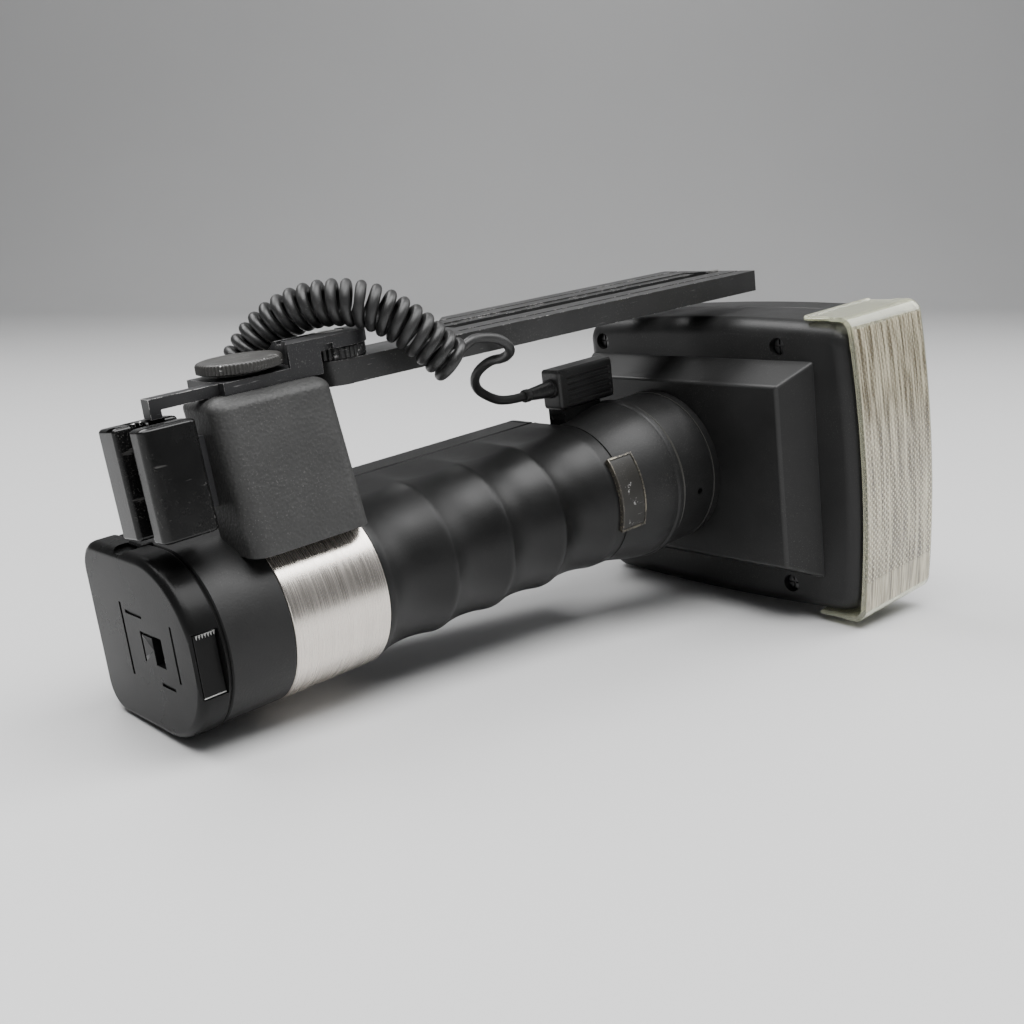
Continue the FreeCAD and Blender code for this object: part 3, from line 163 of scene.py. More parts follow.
def curlPoints(s):
    # point = axis + r (cos a side + sin a other), side carried along the axis without twist
    count = int(round(s["turns"] * s["perTurn"])) + 1
    line = evenly(splineLine(s["coilRoute"]), 8 * count)
    ahead = np.gradient(line, axis=0)
    ahead /= np.linalg.norm(ahead, axis=1)[:, None]
    sides = np.empty_like(line)
    side = np.cross(ahead[0], (0.0, 0.0, 1.0))
    for i, way in enumerate(ahead):
        side = unit(side - way * side.dot(way))
        sides[i] = side
    others = np.cross(ahead, sides)
    at = np.linspace(0, len(line) - 1, count)
    low = np.floor(at).astype(int).clip(0, len(line) - 1)
    angle = 2 * np.pi * (np.arange(count) / s["perTurn"] + s["startTurn"])
    # a quadratic spline cuts its corners by 1 - cos(half a step), which the radius makes up
    radius = s["curlRadius"] / (0.5 + 0.5 * math.cos(np.pi / s["perTurn"]) ** 2) ** 0.5
    return (line[low] + radius * (np.cos(angle)[:, None] * sides[low]
                                  + np.sin(angle)[:, None] * others[low]))


def makeCord(s):
    curls = curlPoints(s)
    out, back = unit(curls[-1] - curls[-2]), unit(curls[0] - curls[1])
    plugTip = np.array(s["plugTip"])
    plugLine = [curls[-1] + out * s["plugRun"], *s["plugRoute"],
                plugTip - (s["straight"], 0.0, 0.0), plugTip]
    adapterLine = [s["adapterTip"], s["adapterOut"], *s["adapterRoute"][::-1],
                   curls[0] + back * s["adapterRun"]]
    return makeSpline("cord", np.vstack([adapterLine, curls, plugLine]), s["diameter"])


cord = makeCord(cordSettings)
print("stage: camera and cord")


# Shader sockets with arithmetic

class Value:
    def __init__(self, tree, socket):
        self.tree = tree
        self.socket = socket

    def node(self, kind, inputs=(), output=0, **settings):
        made = self.tree.nodes.new(kind)
        for key, value in settings.items():
            setattr(made, key, value)
        for key, value in dict(inputs).items():
            connect(self.tree, value, made.inputs[key])
        return Value(self.tree, made.outputs[output])

    def maths(self, operation, *others):
        return self.node("ShaderNodeMath", enumerate((self, *others)), operation=operation)

    def __add__(self, other):
        return self.maths("ADD", other)

    def __sub__(self, other):
        return self.maths("SUBTRACT", other)

    def __mul__(self, other):
        return self.maths("MULTIPLY", other)

    def between(self, low, high, fromLow=0.0, fromHigh=1.0):
        return self.node("ShaderNodeMapRange", {0: self, 1: fromLow, 2: fromHigh, 3: low, 4: high})

    def ramp(self, low, high):
        # 0 up to low, 1 from high on
        return self.between(0.0, 1.0, low, high)


def connect(tree, value, socket):
    if isinstance(value, Value):
        tree.links.new(value.socket, socket)
    elif socket.type == "RGBA":
        socket.default_value = (*value, 1.0)
    else:
        socket.default_value = value


socketNames = {"color": "Base Color", "rough": "Roughness", "metal": "Metallic", "ior": "IOR",
               "normal": "Normal", "coat": "Coat Weight", "coatRough": "Coat Roughness",
               "through": "Transmission Weight", "specular": "Specular IOR Level"}


class Finish:
    # one material: its Object coordinates, noises and a Principled shader
    def __init__(self, name):
        self.material = bpy.data.materials.new(name)
        self.material.use_nodes = True
        self.tree = self.material.node_tree
        self.shader = self.tree.nodes["Principled BSDF"]
        coordinates = self.tree.nodes.new("ShaderNodeTexCoord")
        self.place = Value(self.tree, coordinates.outputs["Object"])

    def along(self, axis):
        # distance in metres along one of the handle's axes
        return self.place.node("ShaderNodeVectorMath", {0: self.place, 1: tuple(axis)},
                               output="Value", operation="DOT_PRODUCT")

    def model(self, axis):
        # millimetres along one of the handle's axes
        return (self.along(axes[axis]) - float(origin @ axes[axis])) * 1000.0

    def stretched(self, scales):
        parts = [self.along(axis) * scale for axis, scale in zip(axes, scales)]
        return self.place.node("ShaderNodeCombineXYZ", dict(enumerate(parts)))

    def noise(self, scale, detail=3.0, rough=0.55, vector=None):
        return self.place.node("ShaderNodeTexNoise", {
            "Vector": vector or self.place, "Scale": scale, "Detail": detail, "Roughness": rough})

    def cells(self, scale):
        # smoothed distance to the middle of the nearest cell
        return self.place.node("ShaderNodeTexVoronoi", {"Vector": self.place, "Scale": scale},
                               output="Distance", feature="SMOOTH_F1")

    def colour(self, share, first, second):
        return self.place.node("ShaderNodeMix", {"Factor": share, 6: first, 7: second}, output=2,
                               data_type="RGBA")

    def bump(self, height, strength, distance):
        return self.place.node("ShaderNodeBump", {"Height": height, "Strength": strength,
                                                  "Distance": distance})

    def set(self, **sockets):
        for key, value in sockets.items():
            connect(self.tree, value, self.shader.inputs[socketNames[key]])
        return self.material


def scaled(color, share, more=0.0):
    return tuple(c * share + more for c in color)


def dusty(f, share, base, dust=(0.3, 0.29, 0.27)):
    # pale dust lies where a broad noise is high, in fine specks
    specks = f.noise(2600.0, 2.0).ramp(0.60, 0.72)
    broad = f.noise(38.0, 4.0).ramp(0.42, 0.72)
    return f.colour(specks * broad * share, base, dust)


def plasticFinish(f, base, rough, grain, grainDepth, dust=0.25, shine=0.3):
    # satin plastic: fine grain in the normal, broad smudges in the roughness
    smudge = f.noise(24.0, 5.0, 0.65)
    height = f.noise(grain, 2.0, 0.5)
    color = f.colour(smudge.ramp(0.35, 0.8), base, scaled(base, 1.6, 0.003))
    return f.set(color=dusty(f, dust, color, (0.22, 0.215, 0.2)),
                 rough=smudge.between(rough - 0.07, rough + 0.10, 0.3, 0.7),
                 specular=shine, normal=f.bump(height, 0.55, grainDepth))


def leatherFinish(f, base, rough):
    # moulded leather grain: rounded cells with creases between
    wobble = f.noise(900.0, 2.0)
    cell = f.cells(1150.0).between(1.0, 0.0, 0.05, 0.75)
    crease = cell * 0.8 + wobble * 0.35
    smudge = f.noise(30.0, 4.0)
    color = f.colour(smudge.ramp(0.3, 0.75), base, scaled(base, 1.7))
    return f.set(color=dusty(f, 0.3, color, (0.25, 0.245, 0.235)),
                 rough=smudge.between(rough - 0.05, rough + 0.08, 0.3, 0.7),
                 specular=0.35, normal=f.bump(crease, 0.6, 0.0002))


def glossFinish(f, base, rough):
    # polished plastic with hairline scratches and finger marks
    marks = f.noise(60.0, 5.0, 0.7)
    hair = f.noise(1.0, 3.0, 0.5, f.stretched((90.0, 2400.0, 700.0)))
    scratch = hair.ramp(0.66, 0.74)
    color = f.colour(scratch * 0.35, base, (0.16, 0.155, 0.15))
    return f.set(color=dusty(f, 0.35, color),
                 rough=marks.between(rough - 0.04, rough + 0.14, 0.35, 0.75) + scratch * 0.2,
                 specular=0.3, normal=f.bump(f.noise(420.0, 2.0), 0.12, 0.0001), coat=0.12,
                 coatRough=0.1)


def brushedFinish(f, base, rough, stretch):
    # fine lines drawn out in the brushing's direction
    lines = f.noise(1.0, 4.0, 0.65, f.stretched(stretch))
    broad = f.noise(46.0, 3.0)
    color = f.colour(lines.ramp(0.3, 0.7), scaled(base, 0.78), base)
    stain = broad.between(0.0, 0.35, 0.52, 0.75)
    return f.set(color=f.colour(stain, color, scaled(base, 0.6)), metal=1.0,
                 rough=lines.between(rough - 0.06, rough + 0.08, 0.3, 0.7),
                 normal=f.bump(lines, 0.35, 0.00003))


def paintedFinish(f, base, rough, worn, bright=(0.62, 0.61, 0.6)):
    # black coat over metal; worn is how much of the coat has gone, from 0 to 1
    patch = f.noise(210.0, 6.0, 0.7)
    fine = f.noise(1500.0, 2.0)
    low = 0.78 - 0.5 * worn
    gone = (patch * 0.7 + fine * 0.3).ramp(low, low + 0.05)
    hair = f.noise(1.0, 3.0, 0.5, f.stretched((120.0, 2600.0, 2600.0)))
    scratch = hair.ramp(0.68, 0.73) * f.noise(50.0).ramp(0.5, 0.6)
    bare = gone.maths("MAXIMUM", scratch * (0.35 + 0.6 * worn))
    color = f.colour(bare, base, bright)
    return f.set(color=dusty(f, 0.35, color), metal=bare,
                 rough=f.noise(90.0).between(rough - 0.06, rough + 0.1, 0.3, 0.7),
                 normal=f.bump(f.noise(1900.0, 2.0) - gone * 0.6, 0.4, 0.00006))


def rubberFinish(f, base, rough):
    broad = f.noise(120.0, 4.0)
    color = f.colour(broad.ramp(0.4, 0.8), base, scaled(base, 2.2))
    return f.set(color=dusty(f, 0.4, color, (0.24, 0.235, 0.22)),
                 rough=broad.between(rough - 0.06, rough + 0.1, 0.3, 0.7),
                 normal=f.bump(f.noise(2200.0, 2.0), 0.2, 0.00004))


def clearFinish(f, tint, rough, through=1.0):
    # clear plastic; through is the share of light that passes
    haze = f.noise(70.0, 4.0)
    return f.set(color=f.colour(haze, tint, scaled(tint, 0.93)), through=through,
                 ior=1.49, rough=haze.between(rough, rough + 0.08, 0.35, 0.8))


def dottedFinish(f, light, dark, rough):
    # moulded plastic: a lattice of dots where cos(pi x / p) cos(pi z / q) is above zero, over
    # flutes |cos(pi x / f)| as bands of painted light and shade, and fine streaks that run along z
    x, z = f.model(0), f.model(2)
    wave = (x * (math.pi / 1.02)).maths("COSINE") * (z * (math.pi / 1.02)).maths("COSINE")
    dots = wave.maths("MAXIMUM", 0.0).maths("POWER", 0.7)
    inside = z.ramp(-36.0, -35.0)
    share = inside * z.between(1.0, 0.2, -8.0, 18.0)
    streak = f.noise(1.0, 3.0, 0.65, f.stretched((1100.0, 200.0, 45.0)))
    # lighter bands in step with the flutes: painted light and shade of the flute relief
    flute = ((x - 204.9) * (math.pi / 5.6)).maths("COSINE").maths("ABSOLUTE")
    haze = f.noise(85.0, 4.0)
    grey = (dots * share * 0.9 * haze.between(0.55, 1.25, 0.3, 0.7)
            + streak.between(0.0, 0.75, 0.38, 0.66) + flute * 0.3 - inside * 0.24)
    color = f.colour(grey.ramp(0.0, 1.0), dark, light)
    return f.set(color=color, through=0.3, ior=1.49,
                 rough=haze.between(rough, rough + 0.1, 0.35, 0.8),
                 normal=f.bump(dots * share + streak * 0.6, 1.0, 0.0006), coat=0.3,
                 coatRough=0.06)


def brightFinish(f, base, rough, metal):
    broad = f.noise(150.0, 4.0)
    return f.set(color=f.colour(broad, base, scaled(base, 0.75)), metal=metal,
                 rough=broad.between(rough, rough + 0.12, 0.3, 0.7),
                 normal=f.bump(f.noise(900.0), 0.15, 0.00004))


finishSettings = {
    "grip": (plasticFinish, (0.004, 0.004, 0.004), 0.38, 2600.0, 0.00007, 0.05),
    "shell": (plasticFinish, (0.009, 0.009, 0.009), 0.46, 1500.0, 0.00010, 0.25),
    "smooth": (plasticFinish, (0.004, 0.004, 0.004), 0.26, 1900.0, 0.00004, 0.03, 0.12),
    "leather": (leatherFinish, (0.026, 0.026, 0.0255), 0.52),
    "gloss": (glossFinish, (0.004, 0.004, 0.004), 0.2),
    "band": (brushedFinish, (0.86, 0.80, 0.73), 0.26, (4200.0, 30.0, 30.0)),
    "steel": (brushedFinish, (0.55, 0.54, 0.52), 0.34, (700.0, 700.0, 700.0)),
    "cast": (paintedFinish, (0.012, 0.012, 0.013), 0.42, 0.12),
    "castEdge": (paintedFinish, (0.02, 0.02, 0.02), 0.4, 0.62),
    "rail": (paintedFinish, (0.018, 0.018, 0.018), 0.34, 0.12),
    "railEdge": (paintedFinish, (0.02, 0.02, 0.02), 0.36, 0.5),
    "rubber": (rubberFinish, (0.012, 0.012, 0.012), 0.42),
    "clear": (clearFinish, (0.90, 0.91, 0.72), 0.04, 0.8),
    "dotted": (dottedFinish, (1.0, 0.92, 0.68), (0.14, 0.115, 0.07), 0.1),
    "hub": (paintedFinish, (0.012, 0.012, 0.012), 0.4, 0.35),
    # lighter than the shell: a painted highlight on the neck's lip and the collar's edge rings
    "shellEdge": (plasticFinish, (0.045, 0.044, 0.04), 0.32, 1500.0, 0.00004, 0.3),
    # pale grey: a painted highlight on the latch's teeth and its lower edge
    "toothEdge": (plasticFinish, (0.34, 0.34, 0.33), 0.3, 1500.0, 0.00004, 0.2),
    "headShell": (plasticFinish, (0.010, 0.010, 0.010), 0.4, 1700.0, 0.00006, 0.25),
    # lighter than the head shell: a painted highlight on the platform's rounded edges
    "headEdgeHighlight": (plasticFinish, (0.017, 0.017, 0.017), 0.36, 1700.0, 0.00005, 0.25),
    "plateField": (paintedFinish, (0.02, 0.019, 0.017), 0.4, 0.35),
    # bare patches on the name plate's raised rim: wear, and also a painted highlight along the rim
    "worn": (paintedFinish, (0.04, 0.036, 0.03), 0.35, 0.6, (0.24, 0.22, 0.18)),
    "knobTop": (paintedFinish, (0.035, 0.034, 0.032), 0.36, 0.35),
    "darkSteel": (brushedFinish, (0.12, 0.12, 0.12), 0.4, (700.0, 700.0, 700.0)),
    "rubberHard": (rubberFinish, (0.014, 0.014, 0.014), 0.38),
    "pane": (clearFinish, (0.95, 0.96, 0.95), 0.03),
    "mirror": (brightFinish, (0.92, 0.92, 0.9), 0.16, 1.0),
    "brass": (brightFinish, (0.78, 0.6, 0.3), 0.25, 1.0),
    "board": (brightFinish, (0.03, 0.15, 0.07), 0.3, 0.0),
    "wrap": (brightFinish, (0.06, 0.08, 0.16), 0.25, 0.0),
    "white": (brightFinish, (0.72, 0.72, 0.68), 0.35, 0.0),
    "red": (brightFinish, (0.5, 0.04, 0.02), 0.15, 0.0),
    "inner": (plasticFinish, (0.04, 0.04, 0.042), 0.5, 1500.0, 0.00008, 0.0),
}
finishes = {name: make(Finish(name), *values) for name, (make, *values) in finishSettings.items()}
slotFinish = {
    "black_grip": "grip", "black_shell": "shell", "grey_box": "leather", "gloss_black": "gloss",
    "clear_cap": "clear", "dark_metal": "cast", "black_alloy": "rail", "steel": "steel",
    "cord_rubber": "rubber", "lamp_glass": "pane", "window": "pane", "mirror": "mirror",
    "contact": "brass", "board": "board", "cell_wrap": "wrap", "white_scale": "white",
    "red_lens": "red", "inner_plastic": "inner",
}
slotOf = {finish: slotName for slotName, finish in slotFinish.items()}
for slotName, names in (("black_shell", "smooth shellEdge toothEdge headShell"),
                        ("steel", "band hub darkSteel"), ("dark_metal", "plateField worn knobTop"),
                        ("cord_rubber", "rubberHard")):
    slotOf.update({name: slotName for name in names.split()})
nodeSlots = {part["node"]: part["material_slot"] for part in frame["record"]["subparts"]}
for nodeName, node in nodes.items():
    node.data.materials.clear()
    node.data.materials.append(finishes[slotFinish[nodeSlots[nodeName]]])
cord.data.materials.append(finishes["rubber"])
print("stage: finishes")


# Mesh tools, all in millimetres along the handle

def makeMesh(name, verts, faces, marks=None):
    # the mesh's faces all look outwards
    mesh = bpy.data.meshes.new(name)
    mesh.from_pydata(np.asarray(verts, float).tolist(), [], [list(map(int, face)) for face in faces])
    if marks is not None:
        mesh.polygons.foreach_set("material_index", np.asarray(marks, np.int32))
    work = bmesh.new()
    work.from_mesh(mesh)
    bmesh.ops.recalc_face_normals(work, faces=work.faces)
    work.to_mesh(mesh)
    work.free()
    return mesh


def makePiece(name, form, finish, body, replaced=(), sharp=32.0, marks=None):
    # form: points and faces; marks gives each face's finish when finish is a list
    verts, faces = form
    looks = [finish] if isinstance(finish, str) else finish
    mesh = makeMesh(name, toRow(verts), faces, marks)
    mesh.shade_smooth()
    mesh.set_sharp_from_angle(angle=math.radians(sharp))
    for key in looks:
        mesh.materials.append(finishes[key])
    obj = newObject(name, mesh)
    weighted = obj.modifiers.new("weighted", "WEIGHTED_NORMAL")
    weighted.keep_sharp = True
    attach(obj, body)
    if replaced:
        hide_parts(*replaced)
    return obj


def loft(rings):
    # rings: R closed loops of N points; the ends close onto their middle points
    rings = np.asarray(rings, float)
    count, size = rings.shape[:2]
    i = np.arange(count - 1)[:, None] * size
    j = np.arange(size)[None, :]
    k = (j + 1) % size
    quads = np.stack([i + j, i + k, i + size + k, i + size + j], -1).reshape(-1, 4)
    verts = np.vstack([rings.reshape(-1, 3), rings[0].mean(0), rings[-1].mean(0)])
    last = (count - 1) * size
    middle = count * size
    ends = [(middle, b, a) for a, b in zip(j[0], k[0])]
    ends += [(middle + 1, last + a, last + b) for a, b in zip(j[0], k[0])]
    return verts, [tuple(q) for q in quads] + ends


def standing(places, loops):
    # (y, z) loops set up at their places along x
    return [np.column_stack([np.full(len(loop), x), loop]) for x, loop in zip(places, loops)]


def ringOf(axis, at, radii, count=96, centre=(0.0, 0.0)):
    # circles of the given radii at places along one axis: 0 for x, 1 for y, 2 for z
    angle = np.linspace(0, 2 * np.pi, count, endpoint=False)
    rings = np.zeros((len(at), count, 3))
    first, second = [i for i in range(3) if i != axis]
    for ring, place, radius in zip(rings, at, radii):
        ring[:, axis] = place
        ring[:, first] = centre[0] + radius * np.cos(angle)
        ring[:, second] = centre[1] + radius * np.sin(angle)
    return rings


class Shape:
    # prisms and drums joined, cut and rounded, kept as one mesh in millimetres
    def __init__(self, form):
        self.mesh = makeMesh("shape", *form)

    def changed(self, kind, **settings):
        obj = newObject("work", self.mesh)
        while len(self.mesh.materials) < 2:
            self.mesh.materials.append(None)
        modifier = obj.modifiers.new(kind, kind)
        for key, value in settings.items():
            setattr(modifier, key, value)
        bpy.context.view_layer.update()
        self.mesh = bpy.data.meshes.new_from_object(
            obj.evaluated_get(bpy.context.evaluated_depsgraph_get()))
        bpy.data.objects.remove(obj)
        return self

    def combine(self, operation, others):
        for other in others:
            tool = newObject("tool", other.mesh)
            self.changed("BOOLEAN", operation=operation, object=tool, solver="EXACT")
            bpy.data.objects.remove(tool)
        return self

    def join(self, *others):
        return self.combine("UNION", others)

    def cut(self, *others):
        return self.combine("DIFFERENCE", others)

    def round(self, width, segments=2, angle=30.0, edge=True):
        return self.changed("BEVEL", width=width, segments=segments, limit_method="ANGLE",
                            angle_limit=math.radians(angle), material=1 if edge else -1,
                            miter_outer="MITER_ARC")

    def arrays(self):
        count = len(self.mesh.vertices)
        verts = np.empty(count * 3)
        self.mesh.vertices.foreach_get("co", verts)
        faces = [tuple(face.vertices) for face in self.mesh.polygons]
        marks = [face.material_index for face in self.mesh.polygons]
        return verts.reshape(-1, 3), faces, marks

    def turned(self, angle, axis, centre):
        move = (Matrix.Translation(centre) @ Matrix.Rotation(math.radians(angle), 4, axis)
                @ Matrix.Translation(-Vector(centre)))
        self.mesh.transform(move)
        return self

    def piece(self, name, finish, body, replaced=(), sharp=32.0):
        # a list gives the finish of the faces and that of the rounded edges
        verts, faces, marks = self.arrays()
        both = [finish, finish] if isinstance(finish, str) else finish
        return makePiece(name, (verts, faces), both, body, replaced, sharp, marks)


def prism(outline, axis, low, high):
    # a flat outline drawn out along x, y or z (0, 1, 2)
    outline = np.asarray(outline, float)
    count = len(outline)
    verts = np.zeros((2 * count, 3))
    first, second = [i for i in range(3) if i != axis]
    for k, place in enumerate((low, high)):
        verts[k * count:(k + 1) * count, first] = outline[:, 0]
        verts[k * count:(k + 1) * count, second] = outline[:, 1]
        verts[k * count:(k + 1) * count, axis] = place
    faces = [tuple(range(count - 1, -1, -1)), tuple(range(count, 2 * count))]
    faces += [(i, (i + 1) % count, count + (i + 1) % count, count + i) for i in range(count)]
    return Shape((verts, faces))


def box(low, high):
    outline = [(low[0], low[1]), (high[0], low[1]), (high[0], high[1]), (low[0], high[1])]
    return prism(outline, 2, low[2], high[2])


def drum(axis, low, high, radius, centre, count=64):
    return Shape(loft(ringOf(axis, [low, high], [radius, radius], count, centre)))


def circlePoints(radius, centre, start, end, count):
    angle = np.radians(np.linspace(start, end, count))
    return [(centre[0] + radius * math.cos(a), centre[1] + radius * math.sin(a)) for a in angle]


def gather(shapes):
    # several shapes as one list of points and faces
    verts, faces, count = [], [], 0
    for shape in shapes:
        points, quads, _ = shape.arrays()
        verts.append(points)
        faces += [tuple(count + i for i in face) for face in quads]
        count += len(points)
    return np.vstack(verts), faces


def roundBox(low, high, radii, arc=5, fill=(0, 0, 0)):
    # cube points past the core are pulled onto it: core + radius * unit(point - core)
    low, high = np.array(low, float), np.array(high, float)
    middle, half = (low + high) / 2, (high - low) / 2
    radii = np.minimum(np.broadcast_to(np.asarray(radii, float), 3), half - 0.01)
    core = half - radii
    bend = np.tan(np.linspace(0, np.pi / 4, arc + 1))
    lines = [np.concatenate([-core[i] - radii[i] * bend[::-1],
                             np.linspace(-core[i], core[i], fill[i] + 2)[1:-1],
                             core[i] + radii[i] * bend]) for i in range(3)]
    points, faces, count = [], [], 0
    for axis in range(3):
        first, second = [i for i in range(3) if i != axis]
        a, b = np.meshgrid(lines[first], lines[second], indexing="ij")
        grid = np.arange(a.size).reshape(a.shape)
        quads = np.stack([grid[:-1, :-1], grid[1:, :-1], grid[1:, 1:], grid[:-1, 1:]], -1)
        for side in (-1, 1):
            face = np.zeros((a.size, 3))
            face[:, first], face[:, second], face[:, axis] = a.ravel(), b.ravel(), side * half[axis]
            points.append(face)
            faces.append(quads.reshape(-1, 4) + count)
            count += a.size
    points, faces = np.vstack(points), np.vstack(faces)
    inner = np.clip(points, -core, core)
    away = (points - inner) / radii
    points = inner + radii * away / np.linalg.norm(away, axis=1)[:, None]
    _, keep, same = np.unique(np.round(points, 4), axis=0, return_index=True, return_inverse=True)
    return middle + points[keep], same.reshape(-1)[faces]


def toothed(radius, depth, teeth, heights, insets, shares, centre):
    # rings round z whose radius is R - inset - depth * share * (a rounded triangle wave)
    angle = np.linspace(0, 2 * np.pi, teeth * 6, endpoint=False)
    wave = np.abs(((angle * teeth / (2 * np.pi)) % 1) * 2 - 1) ** 0.8
    rings = []
    for z, inset, share in zip(heights, insets, shares):
        r = radius - inset - depth * wave * share
        rings.append(np.column_stack([centre[0] + r * np.cos(angle), centre[1] + r * np.sin(angle),
                                      np.full(len(angle), z)]))
    return rings


# Handle: its section is round in front, flat above and below, with rounded corners behind

handle = {"radius": 23.8, "back": 33.0, "corner": 8.0, "capEnd": 8.7, "bandStart": 27.3,
          "bandEnd": 57.0, "gripEnd": 150.5, "seam": 16.0}


def handleLoop(inset, back=None, corner=None, low=None):
    # (y, z) points; low cuts the loop off at that y, with a straight closing side
    radius = handle["radius"] - inset
    back = handle["back"] - inset if back is None else back
    corner = max(handle["corner"] - inset, 0.4) if corner is None else corner
    half = np.linspace(0, np.pi, 97)
    quarter = np.linspace(0, np.pi / 2, 13)
    if low is None:
        front = np.column_stack([-radius * np.sin(half), radius * np.cos(half)])
    else:
        front = np.array([(low + 0.4, radius), (low, radius - 0.4), (low, radius * 0.4),
                          (low, -radius * 0.4), (low, -radius + 0.4), (low + 0.4, -radius)])
    flat = np.linspace(front[-1][0], back - corner, 17)[1:-1]
    below = np.column_stack([flat, np.full(15, -radius)])
    lowCorner = np.column_stack([back - corner + corner * np.sin(quarter),
                                 -radius + corner - corner * np.cos(quarter)])
    highCorner = lowCorner[::-1] * (1, -1)
    above = below[::-1] * (1, -1)
    return np.vstack([front, below, lowCorner, highCorner, above])


def handleRings(places, insets, low=None):
    return standing(places, [handleLoop(inset, low=low) for inset in insets])


gripSettings = {"inset": 0.6, "pitch": 21.1, "first": 70.6, "count": 4, "depth": 2.9,
                "side": 1.1, "arc": 22.0, "steps": 300, "edge": 0.5}


def makeGrip(s):
    # inset(x) = groove depth: depth - dx dx / (2 arc) beside each finger's middle, smoothed
    x = np.linspace(handle["bandEnd"], handle["gripEnd"], s["steps"])
    groove = np.zeros_like(x)
    for i in range(s["count"]):
        dx = x - s["first"] - i * s["pitch"]
        groove = np.maximum(groove, s["depth"] - dx ** 2 / (2 * s["arc"]))
    groove = np.convolve(np.pad(groove, 6, "edge"), np.hanning(13) / np.hanning(13).sum(), "valid")
    share = groove / s["depth"]
    edge = np.clip(1 - (x - x[0]) / s["edge"], 0, 1) + np.clip(1 - (x[-1] - x) / s["edge"], 0, 1)
    loop = handleLoop(s["inset"], back=handle["seam"], corner=0.5)
    radius = handle["radius"] - s["inset"]
    y, z = loop.T
    front = np.clip(-y / radius, 0, 1)
    fade = np.clip(1 - y / handle["seam"], 0, 1)
    depth = np.where(y < 0, s["side"] + (s["depth"] - s["side"]) * front ** 1.3, s["side"] * fade)
    length = np.where(y < 0, np.hypot(y, z), np.abs(z))
    inward = np.column_stack([np.where(y < 0, -y, 0), -z]) / np.maximum(length, 1e-6)[:, None]
    ends = 0.5 * (y < handle["seam"] - 0.6)
    loops = [loop + inward * (depth * a + b * ends)[:, None] for a, b in zip(share, edge)]
    makePiece("grip_shell_skin", loft(standing(x, loops)), "grip", "handle", ["grip_shell"])


def makeHandle(s):
    a, b, c, d = s["capEnd"], s["bandStart"], s["bandEnd"], s["gripEnd"]
    # name, finish, low side, places along x and insets
    forms = [("lower_sleeve", "shell", None, [a + 0.3, a + 0.7, b - 0.15, b], [0.5, 0.0, 0.0, 0.4]),
             ("clamp_band", "band", None, [b + 0.05, b + 0.3, c - 0.3, c - 0.05],
              [0.2, -0.15, -0.15, 0.2]),
             ("rear_panel", "grip", s["seam"] + 0.45,
              [c + 0.1, c + 0.7, d - 2.7, d - 2.5, d - 2.3, d - 2.1, d - 0.6, d],
              [1.1, 0.5, 0.5, 0.9, 0.9, 0.5, 0.5, 1.0])]
    for name, finish, low, places, insets in forms:
        makePiece(name + "_skin", loft(handleRings(places, insets, low)), finish, "handle", [name])


makeHandle(handle)
makeGrip(gripSettings)
print("stage: handle")


# End cap of the drawer: a gloss rim, a flat face with socket and slots, and the thumb latch

capSettings = {
    "proud": 0.5, "bevel": 2.6, "latchHigh": 8.0, "latchLow": -9.0, "latchY": -21.9,
    # depth, low corner and high corner of the slots, shallow bars and the socket
    "holes": [(1.4, (13.2, -9.9), (14.3, 10.2)), (1.4, (-13.6, -6.4), (-12.6, 8.6)),
              (0.45, (2.4, 7.6), (11.4, 8.6)), (0.45, (-9.6, -9.4), (-2.4, -8.4)),
              (0.45, (-1.4, 3.2), (4.2, 4.0)), (0.45, (4.0, -4.2), (4.9, 4.0)),
              (5.0, (-6.6, -4.0), (-1.4, 4.0))],
    "notches": (-9.0, 6.4),
    "nail": (4.4, 10.5), "nailRadius": 4.2,
    "tab": ((5.6, 6.5, 23.2), (9.2, 14.5, 24.8)),
    # two contact bits in the socket
    "bits": [((2.6, -6.4, -3.6), (3.4, -4.4, -1.8)), ((1.8, -3.6, -3.9), (2.6, -2.2, -2.9))],
}


def makeCap(s):
    outer = -s["proud"]
    places = [0.0, 0.15, 0.6, 1.4, s["bevel"], 7.4, 7.8, 8.2, 8.6]
    insets = [outer + 2.3, outer + 1.7, outer + 0.9, outer + 0.25, outer, outer, outer + 0.1,
              outer + 0.55, outer + 0.7]
    cap = Shape(loft(handleRings(places, insets)))
    reach, back = handle["radius"] + 3, handle["back"]
    low, high, y = s["latchLow"], s["latchHigh"], s["latchY"]
    tools = [box((-1, *start), (depth, *end)) for depth, start, end in s["holes"]]
    tools += [box((-1, -reach, low), (7.5, y, high)),
              box((1.0, -reach, low - 0.01), (7.5, y + 5.4, high))]
    tools += [box((-1, back - 0.5, z), (2.6, back + 3, z + 1.1)) for z in s["notches"]]
    nail = drum(2, handle["radius"] - 0.5, reach, s["nailRadius"], s["nail"], 48)
    cap.cut(*tools, nail).round(0.18, 2, 35.0)
    cap.piece("end_cap_skin", ["smooth", "gloss"], "drawer", ["end_cap"])
    # tab that stands up at the cap's rear edge
    box(*s["tab"]).round(0.7, 3).piece("cap_tab", "smooth", "drawer")
    first, second = [box(*ends) for ends in s["bits"]]
    first.join(second).piece("socket_contact", "steel", "drawer")


latchSettings = {"low": -8.7, "high": 7.5, "front": -21.95, "depth": 2.6, "start": 1.25,
                 "end": 7.3, "teeth": 7, "tooth": 0.9}


